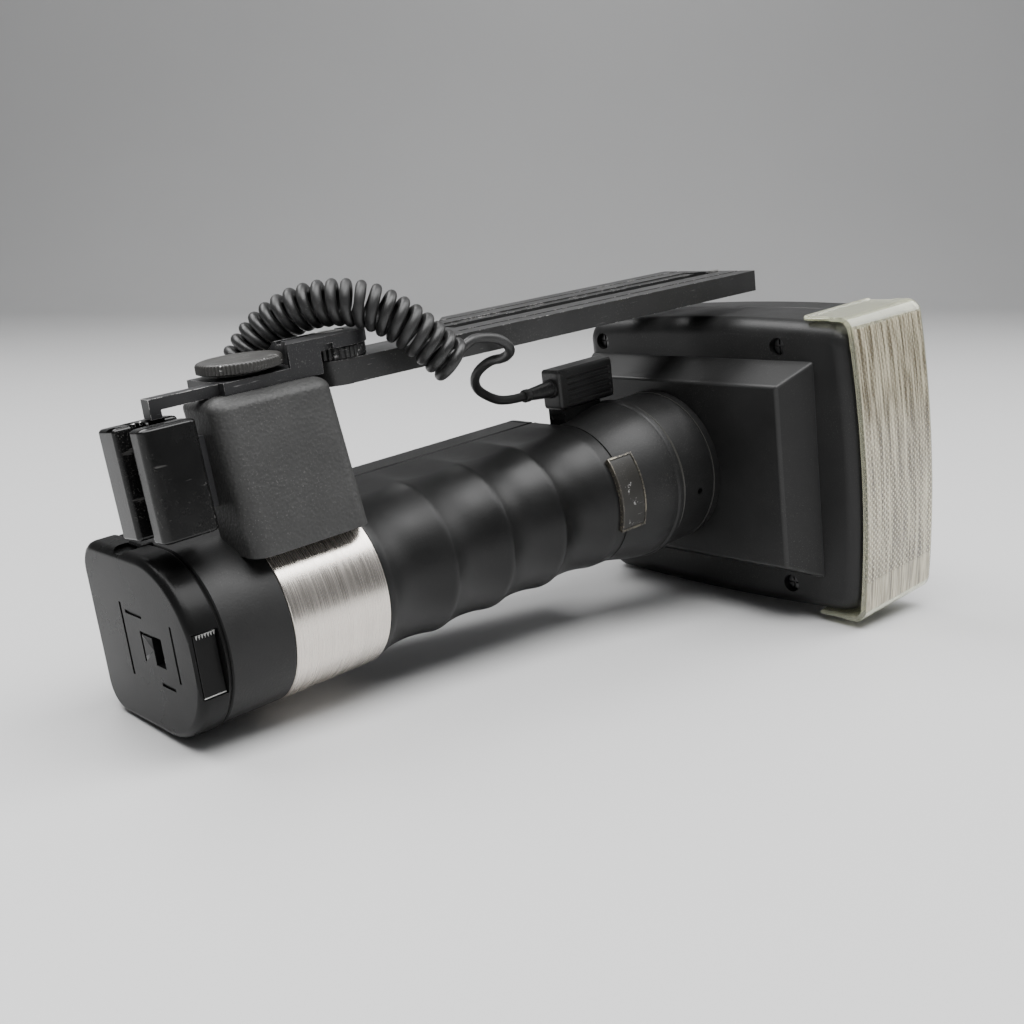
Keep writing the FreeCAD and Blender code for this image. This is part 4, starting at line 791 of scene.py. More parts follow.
def makeLatch(s):
    teeth = np.linspace(s["start"] + 0.4, s["end"] - 0.2, 2 * s["teeth"] + 1)
    edge = [(x, s["high"] - (s["tooth"] if i % 2 else 0.0)) for i, x in enumerate(teeth)]
    outline = [(s["start"], s["low"]), (s["end"], s["low"]), *edge[::-1], (s["start"], s["high"])]
    plate = prism(outline, 1, s["front"], s["front"] + s["depth"])
    plate.round(0.12, 2).piece("latch_button_skin", ["smooth", "gloss"], "latch", ["latch_button"])
    pitch = (s["end"] - s["start"] - 0.6) / s["teeth"]
    tips = []
    for i in range(s["teeth"]):
        x = s["start"] + 0.5 + i * pitch
        tips.append(prism([(x, s["high"] - 0.05), (x + pitch * 0.85, s["high"] - 0.05),
                           (x + pitch * 0.42, s["high"] - 1.2)], 1, s["front"] - 0.15,
                          s["front"] + 0.4))
    # the teeth's tips are pale: a painted highlight
    makePiece("latch_teeth", gather(tips), "toothEdge", "latch")
    # a thin pale strip along the latch's lower edge: a painted highlight line
    strip = box((s["start"], s["front"] - 0.06, s["low"] - 0.02),
                (s["end"] - 0.2, s["front"] + 0.5, s["low"] + 0.25))
    strip.piece("latch_highlight_edge", "toothEdge", "latch")


makeCap(capSettings)
makeLatch(latchSettings)
print("stage: cap")


# Clamp: leather-grained box on the band, cast bracket foot, knob with fine teeth

clampSettings = {"start": 22.0, "end": 57.2, "front": -21.6, "back": -1.6, "foot": 20.0, "top": 59.0,
                 "lean": 8.6, "radii": (4.6, 4.6, 3.0), "chamber": ((29.6, 47.4), (38.4, 53.2)),
                 "pad": 2.3, "padRadii": (2.0, 1.6, 2.0)}


def makeClampBox(s):
    (x0, x1), (z0, z1) = s["chamber"]
    forms = [("clamp_box_skin", (s["start"], s["front"], s["foot"] - 5),
              (s["end"], s["back"], s["top"]), s["radii"], 7, ["clamp_housing"]),
             ("clamp_chamber_skin", (x0, s["back"] - 3.0, z0), (x1, s["back"] + s["pad"], z1),
              s["padRadii"], 5, [])]
    # both forms lean back with height; the second is a raised pad over the nut's chamber
    for name, low, high, radii, arc, nodeNames in forms:
        verts, faces = roundBox(low, high, radii, arc)
        verts[:, 2] = np.maximum(verts[:, 2], s["foot"])
        verts[:, 1] += s["lean"] * (verts[:, 2] - s["foot"]) / (s["top"] - s["foot"])
        makePiece(name, (verts, faces), "leather", "handle", nodeNames)


footSettings = {"start": 28.0, "low": -9.0, "high": 10.0, "base": 59.0, "plate": 62.2,
                "step": 47.5, "stepEnd": 57.2, "top": 68.3, "under": 64.75, "back": 5.0,
                "knob": (38.5, 0.5), "knobRoom": 12.4, "pivot": (67.0, 0.5), "end": 9.5,
                "groove": ((49.5, -0.7, 67.3), (60.0, 1.7, 69.3)),
                "notch": ((58.4, -10.0, 63.0), (61.2, -7.8, 66.4)),
                "arm": ((9.0, -6.3, 59.02), (28.5, -2.3, 62.0)),
                "tip": ((9.0, -6.3, 57.0), (12.0, -2.3, 61.9)), "screwRoom": 3.95}


def makeFoot(s):
    centre = s["pivot"]
    plate = box((s["start"], s["low"], s["base"]), (s["step"] + 5, s["high"], s["plate"]))
    step = box((s["step"], s["low"], s["base"]), (s["stepEnd"], s["high"], s["top"]))
    around = circlePoints(s["end"], centre, -90, 90, 25)
    outline = [(s["step"], s["low"]), *around, (s["step"], s["high"])]
    tongue = prism(outline, 2, s["under"], s["top"])
    room = drum(2, s["plate"], 80, s["knobRoom"], s["knob"], 96)
    behind = box((s["step"] - 1, s["back"], s["plate"]), (80, 20, 80))
    bevel = prism([(s["back"] + 1, s["top"] - 3.2), (s["back"] + 1, s["top"] + 1),
                   (s["back"] - 3.2, s["top"] + 1)], 0, s["step"] - 1, 80)
    screwRoom = drum(2, s["top"] - 1.2, 80, s["screwRoom"], centre, 48)
    plate.join(step, tongue).cut(room, behind, bevel, box(*s["groove"]), box(*s["notch"]), screwRoom)
    arm = box(*s["arm"]).join(box(*s["tip"]))
    plate.round(0.32, 2, 35.0).piece("bracket_foot_skin", ["cast", "castEdge"], "handle", ["bracket_foot"])
    arm.round(0.3, 2, 35.0).piece("hook_skin", ["cast", "castEdge"], "handle")


knobSettings = {"radius": 11.2, "tooth": 0.38, "teeth": 68, "centre": (38.5, 0.5), "base": 63.4,
                "top": 66.4, "seat": 62.5, "boss": 6.5}


def makeKnob(s):
    low, high = s["base"], s["top"]
    heights = [s["seat"], s["seat"], low, low, low + 0.1, low + 0.4, high - 0.8, high - 0.4,
               high - 0.2, high - 0.05, high, high, high - 0.07, high - 0.07, high]
    boss = s["radius"] - s["boss"]
    insets = [boss + 3, boss, boss, 1.2, 0.7, 0.0, 0.0, 0.2, 0.45, 0.9, 1.4, 2.8, 3.1, 5.0, 9.0]
    shares = [0, 0, 0, 0, 0, 1, 1, 0.7, 0.3, 0, 0, 0, 0, 0, 0]
    rings = toothed(s["radius"], s["tooth"], s["teeth"], heights, insets, shares, s["centre"])
    makePiece("clamp_knob_skin", loft(rings), "knobTop", "knob", ["clamp_knob"], 40)


pivotSettings = {"centre": (67.0, 0.5), "washer": 9.0, "tooth": 0.4, "teeth": 40,
                 "washerLow": 61.22, "washerHigh": 64.5, "head": 3.85, "top": 68.2,
                 "stem": 2.95, "nut": 5.4, "nutLow": 52.9, "nutHigh": 54.3}


def makePivot(s):
    x, y = s["centre"]
    low, high = s["washerLow"], s["washerHigh"]
    rings = toothed(s["washer"], s["tooth"], s["teeth"], [low, low + 0.28, high - 0.3, high],
                    [0.3, 0, 0, 0.3], [1, 1, 1, 1], (x, y))
    makePiece("rail_hub_skin", loft(rings), "hub", "rail", ["rail_hub"], 40)
    top, radius = s["top"], s["head"]
    head = Shape(loft(ringOf(2, [top - 1.1, top - 0.3, top - 0.05, top],
                              [radius, radius, radius - 0.25, radius - 0.65], 48, (x, y))))
    head.cut(box((x - 4, y - 0.5, top - 0.7), (x + 4, y + 0.5, top + 0.8)))
    head.join(drum(2, s["nutLow"] + 0.4, top - 1.0, s["stem"], (x, y), 48),
              drum(2, s["nutLow"], s["nutHigh"], s["nut"], (x, y), 6))
    head.piece("pivot_screw_skin", "steel", "handle", ["pivot_screw"])


makeClampBox(clampSettings)
makeFoot(footSettings)
makeKnob(knobSettings)
makePivot(pivotSettings)
print("stage: clamp")


# Camera rail: a long flat bar with a slot and two fine grooves, swung slightly about its pivot

railSettings = {"pivot": (67.0, 0.5, 58.0), "swing": -4.0, "low": 54.5, "top": 61.2, "near": -8.0,
                "width": 43.0, "length": 159.8, "neck": 38.0, "shoulder": 22.0, "hub": 9.0,
                "slot": (47.0, 154.3), "slotWidth": 6.6, "groove": 0.7, "grooveWidth": 1.3,
                "grooveInset": 7.0, "channel": 7.2, "channelDepth": 0.5, "stop": 1.8,
                "stopLow": 58.2, "stopTop": 61.95}


def makeRail(s):
    x, y, _ = s["pivot"]
    near, far = s["near"], s["near"] + s["width"]
    middle = (near + far) / 2
    end = x + s["length"]
    neckY = y + s["hub"]
    outline = [(x, near), (end, near), (end, far), (x + s["neck"] + s["shoulder"], far),
               (x + s["neck"], neckY), *circlePoints(s["hub"], (x, y), 90, 270, 33)]
    rail = prism(outline, 2, s["low"], s["top"])
    half = s["slotWidth"] / 2
    start, stop = x + s["slot"][0], x + s["slot"][1]
    slot = prism(circlePoints(half, (start, middle), 90, 270, 17)
                 + circlePoints(half, (stop, middle), -90, 90, 17), 2, 50, 70)
    tools = [slot]
    for side in (near + s["grooveInset"], far - s["grooveInset"]):
        tools.append(box((start - 6, side - s["grooveWidth"] / 2, s["top"] - s["groove"]),
                         (end + 1, side + s["grooveWidth"] / 2, s["top"] + 1)))
    # a wide shallow channel runs beside the slot
    tools.append(box((start - 2, middle - s["channel"], s["top"] - s["channelDepth"]),
                     (end - 4, middle + s["channel"], s["top"] + 1)))
    rail.cut(*tools).round(0.35, 2, 35.0).turned(s["swing"], "Z", s["pivot"])
    rail.piece("camera_rail_skin", ["rail", "railEdge"], "rail", ["camera_rail"])
    pin = drum(2, s["stopLow"], s["stopTop"], s["stop"], (end - 3.5, middle - 6.0), 32)
    pin.round(0.3, 2).turned(s["swing"], "Z", s["pivot"])
    pin.piece("rail_stop_skin", "steel", "rail", ["rail_stop"])


makeRail(railSettings)
print("stage: rail")


# Shoe adapter beside the clamp: two gloss blocks with a slot between, leaning a little

adapterSettings = {
    "lean": -4.5, "hinge": (0.0, -6.0, 57.0),
    # low and high corner, corner radii, arc steps, and the corners of what is cut away
    "blocks": {
        "adapter_rear": ((-1.0, -6.0, 29.4), (16.0, 3.0, 57.0), (1.3, 1.0, 1.0), 3,
                         [((3.6, -6.5, 55.6), (7.6, -3.4, 58)), ((-2, -5.0, 56.2), (1.2, -2.2, 58)),
                          ((4.4, -2.6, 56.0), (6.4, 1.0, 58)),
                          ((8.2, -6.9, 54.6), (12.6, -2.0, 58))]),
        "adapter_front": ((1.0, -16.0, 28.4), (16.0, -8.5, 56.4), (2.4, 2.2, 1.0), 5,
                          [((3.4, -9.6, 55.4), (15.0, -8.0, 58))])},
    "web": ((10.0, -8.5, 34.0), (14.5, -6.0, 52.4)),
    # x, y and size of the worn bits left on the rear block's top
    "bits": [(4.2, -5.4, 1.0), (6.6, -4.6, 0.8), (1.6, -4.2, 0.7)], "bitLow": 56.2, "bitTop": 57.2,
}


def leaned(shape, s):
    return shape.turned(s["lean"], "X", s["hinge"])


def makeAdapter(s):
    for name, (low, high, radii, arc, cuts) in s["blocks"].items():
        block = Shape(roundBox(low, high, radii, arc)).cut(*[box(*ends) for ends in cuts])
        leaned(block, s).piece(name + "_skin", "gloss", "handle", [name])
    leaned(box(*s["web"]), s).piece("adapter_web_skin", "gloss", "handle", ["adapter_web"])
    for i, (x, y, size) in enumerate(s["bits"]):
        bit = box((x, y, s["bitLow"]), (x + size, y + 1.4 * size, s["bitTop"])).round(0.15, 1)
        leaned(bit, s).piece("adapter_bit_%d" % i, ["gloss", "castEdge"], "handle")


makeAdapter(adapterSettings)
print("stage: adapter")


# Neck, lip and collar

neckSettings = {"start": 150.5, "lip": 173.2, "grip": 23.2, "radius": 26.9, "ring": 160,
                "collarStart": 173.6, "collarEnd": 191.8}


def makeNeck(s):
    share = np.linspace(0, 1, 28)
    # flare(t) = t^2 (3 - 2 t): a bell, hollow at the grip and full at the lip
    flare = share ** 2 * (3 - 2 * share)
    x = s["start"] + share * (s["lip"] - 3.0 - s["start"])
    r = s["grip"] + (s["radius"] - 0.5 - s["grip"]) * flare
    x = [s["start"] - 0.2, *x, *(s["lip"] - back for back in (2.6, 2.2, 0.8, 0.3, 0.0))]
    r = [s["grip"] - 1.0, *r, s["radius"] - 0.1, s["radius"], s["radius"], s["radius"] - 0.5,
         s["radius"] - 0.8]
    count = s["ring"]
    verts, faces = loft(ringOf(0, x, r, count))
    # the lip's rolled edge takes the lighter edge finish: a painted highlight
    marks = np.zeros(len(faces), int)
    marks[count * (len(x) - 3):count * (len(x) - 1)] = 1
    makePiece("neck_skin", (verts, faces), ["shell", "shellEdge"], "handle", ["neck_shell"], marks=marks)
    a, b = s["collarStart"], s["collarEnd"]
    x = [a, a + 0.1, a + 0.6, b - 3.6, b - 3.45, b - 3.2, b - 3.05, b - 1.6, b - 1.3, b - 0.1, b]
    r = [25.0, 25.3, 25.9, 25.9, 25.65, 25.65, 25.9, 25.9, 26.0, 26.0, 25.8]
    collar = Shape(loft(ringOf(0, x, r, count)))
    collar.cut(drum(1, -30, -23.4, 1.15, (a + 8, -3.9), 32))
    collar.piece("collar_skin", "shell", "head", ["swivel_collar"])
    # thin rings in the lighter edge finish: painted highlight lines at the collar's edges
    for name, x, r in (
            ("collar_edge", [a + 0.02, a + 0.5, a + 0.62, a + 0.7], [25.25, 25.85, 25.95, 25.7]),
            ("collar_ring", [b - 3.05, b - 2.95, b - 2.8, b - 2.7], [25.7, 25.99, 25.99, 25.7])):
        makePiece(name, loft(ringOf(0, x, r, count)), "shellEdge", "head")


plateSettings = {"start": 146.6, "length": 10.6, "top": 37.0, "bottom": -20.0, "radius": 23.35,
                 "thick": 1.3, "rim": 0.55}


def arcSheet(start, end, low, high, inner, outer, steps=40):
    # a curved slab: x from start to end, angles in degrees up from the front, two radii
    angle = np.radians(np.linspace(low, high, steps))
    rings = []
    for a in angle:
        c, d = -math.cos(a), math.sin(a)
        rings.append([(start, inner * c, inner * d), (end, inner * c, inner * d),
                      (end, outer * c, outer * d), (start, outer * c, outer * d)])
    return Shape(loft(rings))


def makePlate(s):
    a, b = s["start"], s["start"] + s["length"]
    field = arcSheet(a + 0.2, b - 0.2, s["bottom"] + 0.4, s["top"] - 0.4, s["radius"] - 1.4,
                     s["radius"] + s["thick"] - 0.35)
    field.piece("plate_field", "plateField", "handle", ["name_plate"])
    outer, edge = s["radius"] + s["thick"], s["rim"]
    spread = math.degrees(edge / s["radius"])
    bars = [(a, a + edge, s["bottom"], s["top"]), (b - edge, b, s["bottom"], s["top"]),
            (a, b, s["bottom"], s["bottom"] + spread), (a, b, s["top"] - spread, s["top"])]
    # the rim bars take the worn finish: wear, and also a painted highlight on the raised border
    for i, (x0, x1, low, high) in enumerate(bars):
        bar = arcSheet(x0, x1, low, high, s["radius"] - 1.0, outer)
        bar.round(0.1, 1).piece("plate_rim_%d" % i, "worn", "handle")


makeNeck(neckSettings)
makePlate(plateSettings)
print("stage: neck")


# Head: a crowned body in two shells, a raised platform, screws in deep recesses

headSettings = {"base": 203.9, "top": 244.3, "seam": 227.9, "front": -71.0, "back": 42.3,
                "half": 48.6, "crown": 3.0, "side": 1.8, "corner": 7.0, "edge": 5.5,
                "window": (208.6, 239.6), "windowHalf": 40.1,
                "screws": [(-42.8, -39.8), (-42.8, 39.8), (34.0, -39.8), (34.0, 39.8)],
                "well": 2.9, "wellDepth": 3.0, "slit": 0.35}


def headLoop(s, inset):
    # rounded four-sided outline whose front bows by crown and whose sides bow by side
    front, back = s["front"] + s["crown"] + inset, s["back"] - inset
    half = s["half"] - s["side"] - inset
    r = max(s["corner"] - inset, 0.6)
    arcs = [np.array(circlePoints(r, centre, start, start + 90, 12)) for centre, start in (
        ((front + r, -half + r), 180), ((back - r, -half + r), 270),
        ((back - r, half - r), 0), ((front + r, half - r), 90))]
    loop = []
    for arc, after in zip(arcs, arcs[1:] + arcs[:1]):
        loop += [arc, np.linspace(arc[-1], after[0], 26)[1:-1]]
    y, z = np.vstack(loop).T
    middle, reach = (front + back) / 2, (back - front) / 2
    bow = s["side"] * (1 - ((y - middle) / reach) ** 2) * z / half
    crown = s["crown"] * (1 - (z / half) ** 2) * np.clip((middle - y) / reach, 0, 1) ** 2
    return np.column_stack([y - crown, z + bow])


def headRings(s, places, insets):
    return standing(places, [headLoop(s, inset) for inset in insets])


def makeHead(s):
    r = s["edge"]
    bend = np.linspace(0, np.pi / 2, 9)
    base, top, seam = s["base"], s["top"], s["seam"]
    places = [base, *(base + r * (1 - np.cos(bend))), seam - 0.35, seam]
    insets = [r + 3.0, *(r * (1 - np.sin(bend))), 0.0, 0.3]
    low = Shape(loft(headRings(s, places, insets)))
    lo, hi = s["window"]
    pocket = box((lo, s["front"] - 3, -s["windowHalf"]), (hi, s["front"] + 28, s["windowHalf"]))
    wells = [drum(0, base - 1, base + s["wellDepth"], s["well"], place, 32) for place in s["screws"]]
    low.cut(pocket, *wells)
    low.piece("head_base_skin", "headShell", "head", ["head_base"])
    places = [seam + 0.02, seam + 0.37, *(top - r + r * np.sin(bend)), top]
    insets = [0.3, 0.0, *(r * (1 - np.cos(bend))), r + 3.0]
    high = Shape(loft(headRings(s, places, insets)))
    high.cut(pocket)
    high.piece("head_cover_skin", "headShell", "head", ["head_cover"])
    for i, (y, z) in enumerate(s["screws"]):
        rings = ringOf(0, [base + 4.0, base + 2.2, base + 1.9, base + 1.7], [2.6, 2.6, 2.4, 1.8], 32,
                       (y, z))
        screw = Shape(loft(rings))
        screw.cut(*[box((base + 1, y - a, z - b), (base + 2.5, y + a, z + b))
                    for a, b in ((s["slit"], 3), (3, s["slit"]))])
        screw.piece("head_screw_%d" % i, "darkSteel", "head", ["head_screws"] if i == 0 else ())


platformSettings = {"start": 191.8, "front": -50.5, "back": 34.0, "half": 29.7, "draft": 6.1,
                    "end": 204.3}


def makePlatform(s):
    # the narrow loop's corners move out by draft at the head
    loop = [(s["front"], -s["half"]), (s["back"], -s["half"]), (s["back"], s["half"]),
            (s["front"], s["half"])]
    rings = []
    for x, out in ((s["start"], 0.0), (s["end"], s["draft"])):
        rings.append([(x, y + math.copysign(out, y), z + math.copysign(out, z)) for y, z in loop])
    shape = Shape(loft(rings))
    # the rounded edges take the lighter finish, a painted highlight
    shape.round(0.9, 3, 25.0).piece("platform_skin", ["headShell", "headEdgeHighlight"], "head")


makeHead(headSettings)
makePlatform(platformSettings)
print("stage: head")


# Diffuser: a clear cap over the front, dotted and fluted, with a clip above and below

diffuserSettings = {"low": 204.9, "high": 245.8, "front": -70.0, "back": -62.2, "half": 49.2,
                    "face": 1.8, "wall": 1.3, "crown": 3.0, "flute": 5.6, "fluteDepth": 0.5,
                    "clip": (204.9, 240.9), "clipEnd": -52.2}


def bowed(low, high, radii, crown, fill):
    verts, faces = roundBox(low, high, radii, 5, fill)
    half = high[2]
    weight = np.clip((low[1] + 8 - verts[:, 1]) / 8, 0, 1) ** 0.5
    verts[:, 1] -= crown * (1 - (verts[:, 2] / half) ** 2) * weight
    return verts, faces


def makeDiffuser(s):
    outer = Shape(bowed((s["low"] - 12, s["front"], -s["half"]), (s["high"], s["back"] + 8, s["half"]),
                         (4.0, 4.0, 4.5), s["crown"], (0, 0, 30)))
    top = s["high"] - s["wall"]
    verts, faces = bowed((s["low"] - 14, s["front"] + s["face"], -s["half"] + s["wall"]),
                         (top, s["back"] + 16, s["half"] - s["wall"]), (2.7, 2.7, 3.2), s["crown"],
                         (110, 0, 30))
    # inner face: flutes along z, each depth * |cos(pi x / pitch)| deep
    front = verts[:, 1] < s["front"] + s["face"] + 0.02
    inside = (np.abs(verts[:, 2]) < s["half"] - 6) & (verts[:, 0] > s["low"] + 1.2)
    wave = np.abs(np.cos(np.pi * (verts[:, 0] - s["low"]) / s["flute"]))
    verts[:, 1] -= np.where(front & inside, s["fluteDepth"] * wave, 0.0)
    inner = Shape((verts, faces))
    side = s["half"] + 10
    outer.cut(inner, box((s["low"] - 20, s["front"] - 20, -side), (s["low"], 0, side)),
              box((s["low"] - 20, s["back"], -side), (s["high"] + 5, 0, side)))
    for side in (-1, 1):
        near, far = sorted((side * (s["half"] - s["wall"]), side * s["half"]))
        clip = Shape(roundBox((s["clip"][0], s["back"] - 2.0, near), (s["clip"][1], s["clipEnd"], far),
                               (2.0, 1.2, 0.5), 3))
        bars = [clip]
        if side > 0:
            bars.append(Shape(roundBox((s["clip"][0] + 0.4, s["clipEnd"] - 2.2, far - 0.9),
                                        (s["clip"][1] - 0.4, s["clipEnd"], far + 0.5),
                                        (1.2, 0.9, 0.6), 3)))
        outer.join(*bars)
    verts, faces, _ = outer.arrays()
    centre = np.array([verts[list(face)].mean(0) for face in faces])
    size = np.array([np.ptp(verts[list(face)], axis=0).max() for face in faces])
    wall = (centre[:, 1] < s["front"] + 3.2) & (centre[:, 0] > s["low"] + 1.5)
    dotted = wall & (centre[:, 0] < s["high"] - 3.2) & (np.abs(centre[:, 2]) < 45.5)
    marks = np.where(dotted, 1, 0)
    makePiece("diffuser_skin", (verts, faces), ["clear", "dotted"], "diffuser_cap", ["diffuser"], 40,
              marks)


makeDiffuser(diffuserSettings)
print("stage: diffuser")


# Plug and both strain reliefs

plugSettings = {
    "low": (152.5, 4.5, 27.2), "high": (177.5, 13.0, 40.2), "ribs": 5, "rib": 0.55, "first": 1.9,
    "start": 3.6, "end": 1.6,
    # where each strain relief starts, and its (distance, radius) from there on
    "relief": (140.5, 8.75, 34.2),
    "reliefForm": [(0.0, 1.5), (0.15, 1.95), (0.5, 2.1), (2.0, 2.1), (2.2, 2.0), (2.5, 1.9),
                   (5.0, 2.15), (8.0, 2.45), (11.0, 2.7), (11.2, 3.1), (12.1, 3.1)],
    "other": (8.0, 2.9, 44.0),
    "otherForm": [(0.0, 2.8), (0.4, 2.8), (0.6, 2.5), (3.0, 2.3), (6.2, 1.95), (6.4, 2.1),
                  (7.7, 2.1), (8.05, 1.9), (8.1, 1.5)],
}


def reliefForm(axis, start, form, centre):
    along, radii = zip(*form)
    return loft(ringOf(axis, [start + a for a in along], radii, 48, centre))


def makePlug(s):
    low, high, rib = s["low"], s["high"], s["rib"]
    plug = Shape(roundBox(low, high, (1.1, 1.1, 1.3), 4))
    pitch = (high[2] - low[2] - 3.4) / s["ribs"]
    tools = []
    for i in range(s["ribs"]):
        z = low[2] + s["first"] + i * pitch
        for y in (low[1] - 1, high[1] - rib):
            tools.append(box((low[0] + s["start"], y, z),
                             (high[0] - s["end"], y + rib + 1.0, z + pitch * 0.45)))
    plug.cut(*tools).round(0.12, 1, 50.0, edge=False)
    plug.piece("plug_skin", "rubberHard", "handle", ["plug_body"])
    x, y, z = s["relief"]
    makePiece("plug_relief_skin", reliefForm(0, x, s["reliefForm"], (y, z)), "rubberHard", "handle",
              ["plug_relief"])
    x, y, z = s["other"]
    relief = leaned(Shape(reliefForm(1, y, s["otherForm"], (x, z))), adapterSettings)
    relief.piece("adapter_relief_skin", "rubberHard", "handle", ["adapter_relief"])


makePlug(plugSettings)


# Back of the head: control plate, mode dial, scale, switch, test button and ready lamp

panelSettings = {"low": (209.1, 39.7, -37.7), "high": (239.1, 42.7, 37.7), "tooth": 0.55, "teeth": 36,
                 "x": 224.1, "dialZ": 23.0, "dial": 11.0, "dialHeight": 4.5, "scale": 11.5,
                 "scaleHeight": 2.4, "switch": (215.6, -22.0), "lampZ": -20.0, "buttonZ": -29.0,
                 "button": 3.4, "lamp": 2.2, "hub": 4.2, "switchHalf": (2.5, 4.5)}


def toBack(rings):
    # rings made round z are laid round y
    return [np.asarray(ring)[:, [0, 2, 1]] for ring in rings]


def ticks(centre, inner, outer, y, height, width, angles):
    # small bars standing radially on a face that looks back along y
    x, z = centre
    bars = []
    for angle in angles:
        bar = box((x + inner, y - 0.05, z - width / 2), (x + outer, y + height, z + width / 2))
        bars.append(bar.turned(angle, "Y", (x, y, z)))
    return gather(bars)


def makePanel(s):
    face, x = s["high"][1], s["x"]
    plate = Shape(roundBox(s["low"], s["high"], (2.2, 0.8, 2.2), 4))
    plate.piece("panel_skin", "smooth", "head", ["control_panel"])
    z, base = s["dialZ"], face + 0.2
    top = base + s["dialHeight"]
    rings = toothed(s["dial"], s["tooth"], s["teeth"],
                    [base, base + 0.1, base + 0.5, top - 0.7, top - 0.2, top, top],
                    [1.0, 0.6, 0, 0, 0.3, 0.9, 3.0], [0, 0, 1, 1, 0.6, 0, 0], (x, z))
    dial = Shape(loft(toBack(rings)))
    dial.cut(box((x + 2, top - 0.6, z - 0.45), (x + s["dial"] + 1, top + 0.9, z + 0.45)))
    dial.piece("mode_dial_skin", "gloss", "dial", ["mode_dial"], 40)
    mark = box((x + 2.2, top - 0.9, z - 0.4), (x + s["dial"] - 1.0, top - 0.3, z + 0.4))
    mark.piece("dial_mark", "white", "dial")
    bars = ticks((x, z), s["dial"] + 0.7, s["dial"] + 2.4, face, 0.08, 0.35, np.linspace(-120, 120, 9))
    makePiece("dial_ticks", bars, "white", "head")
    top, r = face + s["scaleHeight"], s["scale"]
    rings = ringOf(1, [face, face + 0.2, top - 0.6, top - 0.2, top, top],
                   [r, r, r, r - 0.3, r - 0.7, r - 2.5], 96, (x, 0.0))
    makePiece("scale_skin", loft(rings), "white", "head", ["scale_disc"])
    bars = ticks((x, 0.0), 6.6, 9.6, top, 0.06, 0.3, np.linspace(0, 345, 24))
    makePiece("scale_ticks", bars, "gloss", "head")
    r = s["hub"]
    hub = Shape(loft(ringOf(1, [top - 0.1, top + 0.5, top + 0.7], [r, r, r - 0.6], 64, (x, 0.0))))
    hub.piece("scale_hub", "gloss", "head")
    (a, b), (c, d) = s["switch"], s["switchHalf"]
    cap = Shape(roundBox((a - c, base, b - d), (a + c, base + 2.6, b + d), 0.7, 3))
    cap.cut(*[box((a - 3, base + 2.1, b + at - 0.3), (a + 3, base + 3, b + at + 0.3))
              for at in (-2.4, -0.8, 0.8, 2.4)])
    cap.piece("switch_skin", "gloss", "switch", ["power_switch"])
    # the track is longer than the switch by its travel
    track = box((a - c - 0.9, face - 0.05, b - d - 2.0), (a + c + 0.9, face + 0.12, b + d + 6.5))
    track.round(0.08, 1).piece("switch_track", "shell", "head")
    r = s["button"]
    button = ringOf(1, [face - 0.6, face + 1.6, face + 2.0, face + 2.2, face + 2.1],
                    [r, r, r - 0.3, r - 0.9, r - 2.2], 64, (x, s["buttonZ"]))
    makePiece("button_skin", loft(button), "gloss", "button", ["test_button"])
    bend = np.linspace(0, np.pi / 2, 9)[:-1]
    r = s["lamp"]
    lamp = ringOf(1, [face - 0.4, *(face + 0.4 + r * np.sin(bend))], [r, *(r * np.cos(bend))], 48,
                  (x, s["lampZ"]))
    makePiece("lamp_skin", loft(lamp), "red", "head", ["ready_lamp"])
    # steel rings round both
    for name, z, r in (("lamp_ring", s["lampZ"], s["lamp"]),
                       ("button_ring", s["buttonZ"], s["button"] + 0.3)):
        ring = drum(1, face - 0.05, face + 0.35, r + 0.8, (x, z), 64)
        ring.cut(drum(1, face - 1, face + 1, r + 0.05, (x, z), 64))
        ring.round(0.12, 1).piece(name, "steel", "head")


makePanel(panelSettings)
print("stage: panel")


# Stage: a pale floor that rises behind, and soft light from above and behind

stageSettings = {"near": -1.6, "far": 1.5, "rise": 1.4, "bend": 0.7, "half": 3.0, "steps": 24}


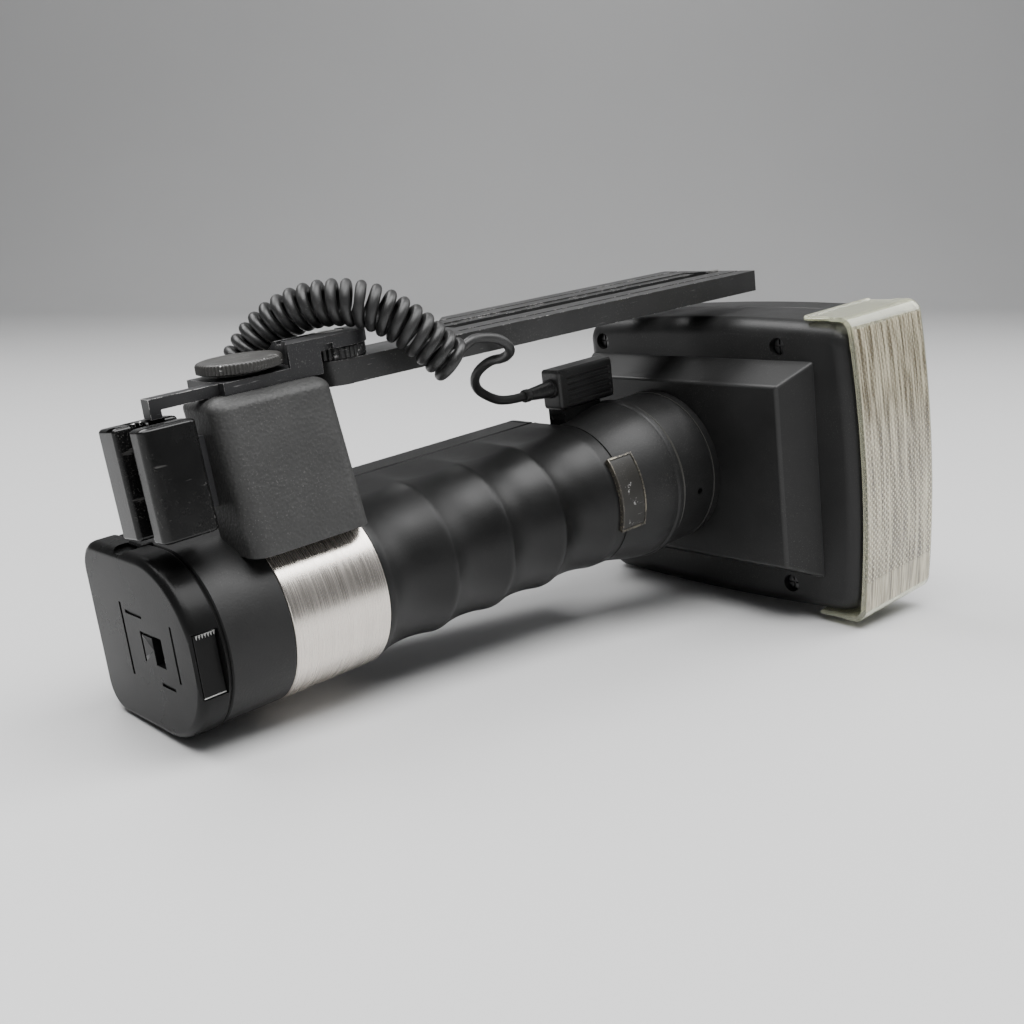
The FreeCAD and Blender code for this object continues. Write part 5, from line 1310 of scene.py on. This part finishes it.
def makeStage(s):
    # the sheet's profile is straight, then a quarter circle, then straight up
    angle = np.linspace(0, np.pi / 2, s["steps"])
    bendY = s["far"] + s["bend"] * np.sin(angle)
    bendZ = s["bend"] * (1 - np.cos(angle))
    y = np.concatenate([[s["near"]], bendY, [bendY[-1]]])
    z = np.concatenate([[0.0], bendZ, [s["rise"] + s["bend"]]])
    count = len(y)
    # the sheet faces the camera, so it is turned as the camera is
    ahead = np.array(cameraSettings["ahead"]) @ axes
    turn = math.atan2(-ahead[0], ahead[1])
    c, d = math.cos(turn), math.sin(turn)
    verts = [(x * c - a * d, x * d + a * c, b) for x in (-s["half"], s["half"])
             for a, b in zip(y, z)]
    faces = [(i, i + count, i + count + 1, i + 1) for i in range(count - 1)]
    mesh = bpy.data.meshes.new("floor")
    mesh.from_pydata(verts, [], faces)
    mesh.shade_smooth()
    floor = newObject("floor", mesh)
    f = Finish("floor")
    broad = f.noise(3.0)
    floor.data.materials.append(f.set(color=f.colour(broad, (0.58, 0.58, 0.58),
                                                     (0.62, 0.62, 0.62)), rough=0.45))


def makeLight(name, place, target, size, power):
    data = bpy.data.lights.new(name, "AREA")
    data.shape = "RECTANGLE"
    data.size, data.size_y = size
    data.energy = power
    light = newObject(name, data)
    light.location = place
    way = Vector(target) - Vector(place)
    light.rotation_mode = "QUATERNION"
    light.rotation_quaternion = way.to_track_quat("-Z", "Y")


# place, size and power of each light, and the plain sky
lightSettings = {"target": (0.0, 0.0, 0.05), "sky": (0.8, 0.81, 0.83, 1.0), "skyPower": 0.22,
                 "lights": {"top": ((-0.05, -0.35, 1.25), (1.5, 0.9), 38.0),
                            "back": ((-0.25, 0.6, 1.0), (1.0, 0.5), 12.0),
                            "right": ((1.0, -0.3, 0.8), (0.6, 0.8), 7.0)}}


def makeLights(s):
    for name, (place, size, power) in s["lights"].items():
        makeLight(name, place, s["target"], size, power)
    world = bpy.data.worlds.new("world")
    world.use_nodes = True
    sky = world.node_tree.nodes["Background"].inputs
    sky[0].default_value = s["sky"]
    sky[1].default_value = s["skyPower"]
    scene.world = world


makeStage(stageSettings)
makeLights(lightSettings)

# Cord: it rides on the handle, and its length is that of the whole wire

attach(cord, "handle")
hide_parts("cord_coil", "cord_plug_lead", "cord_adapter_lead")

print("stage: done")
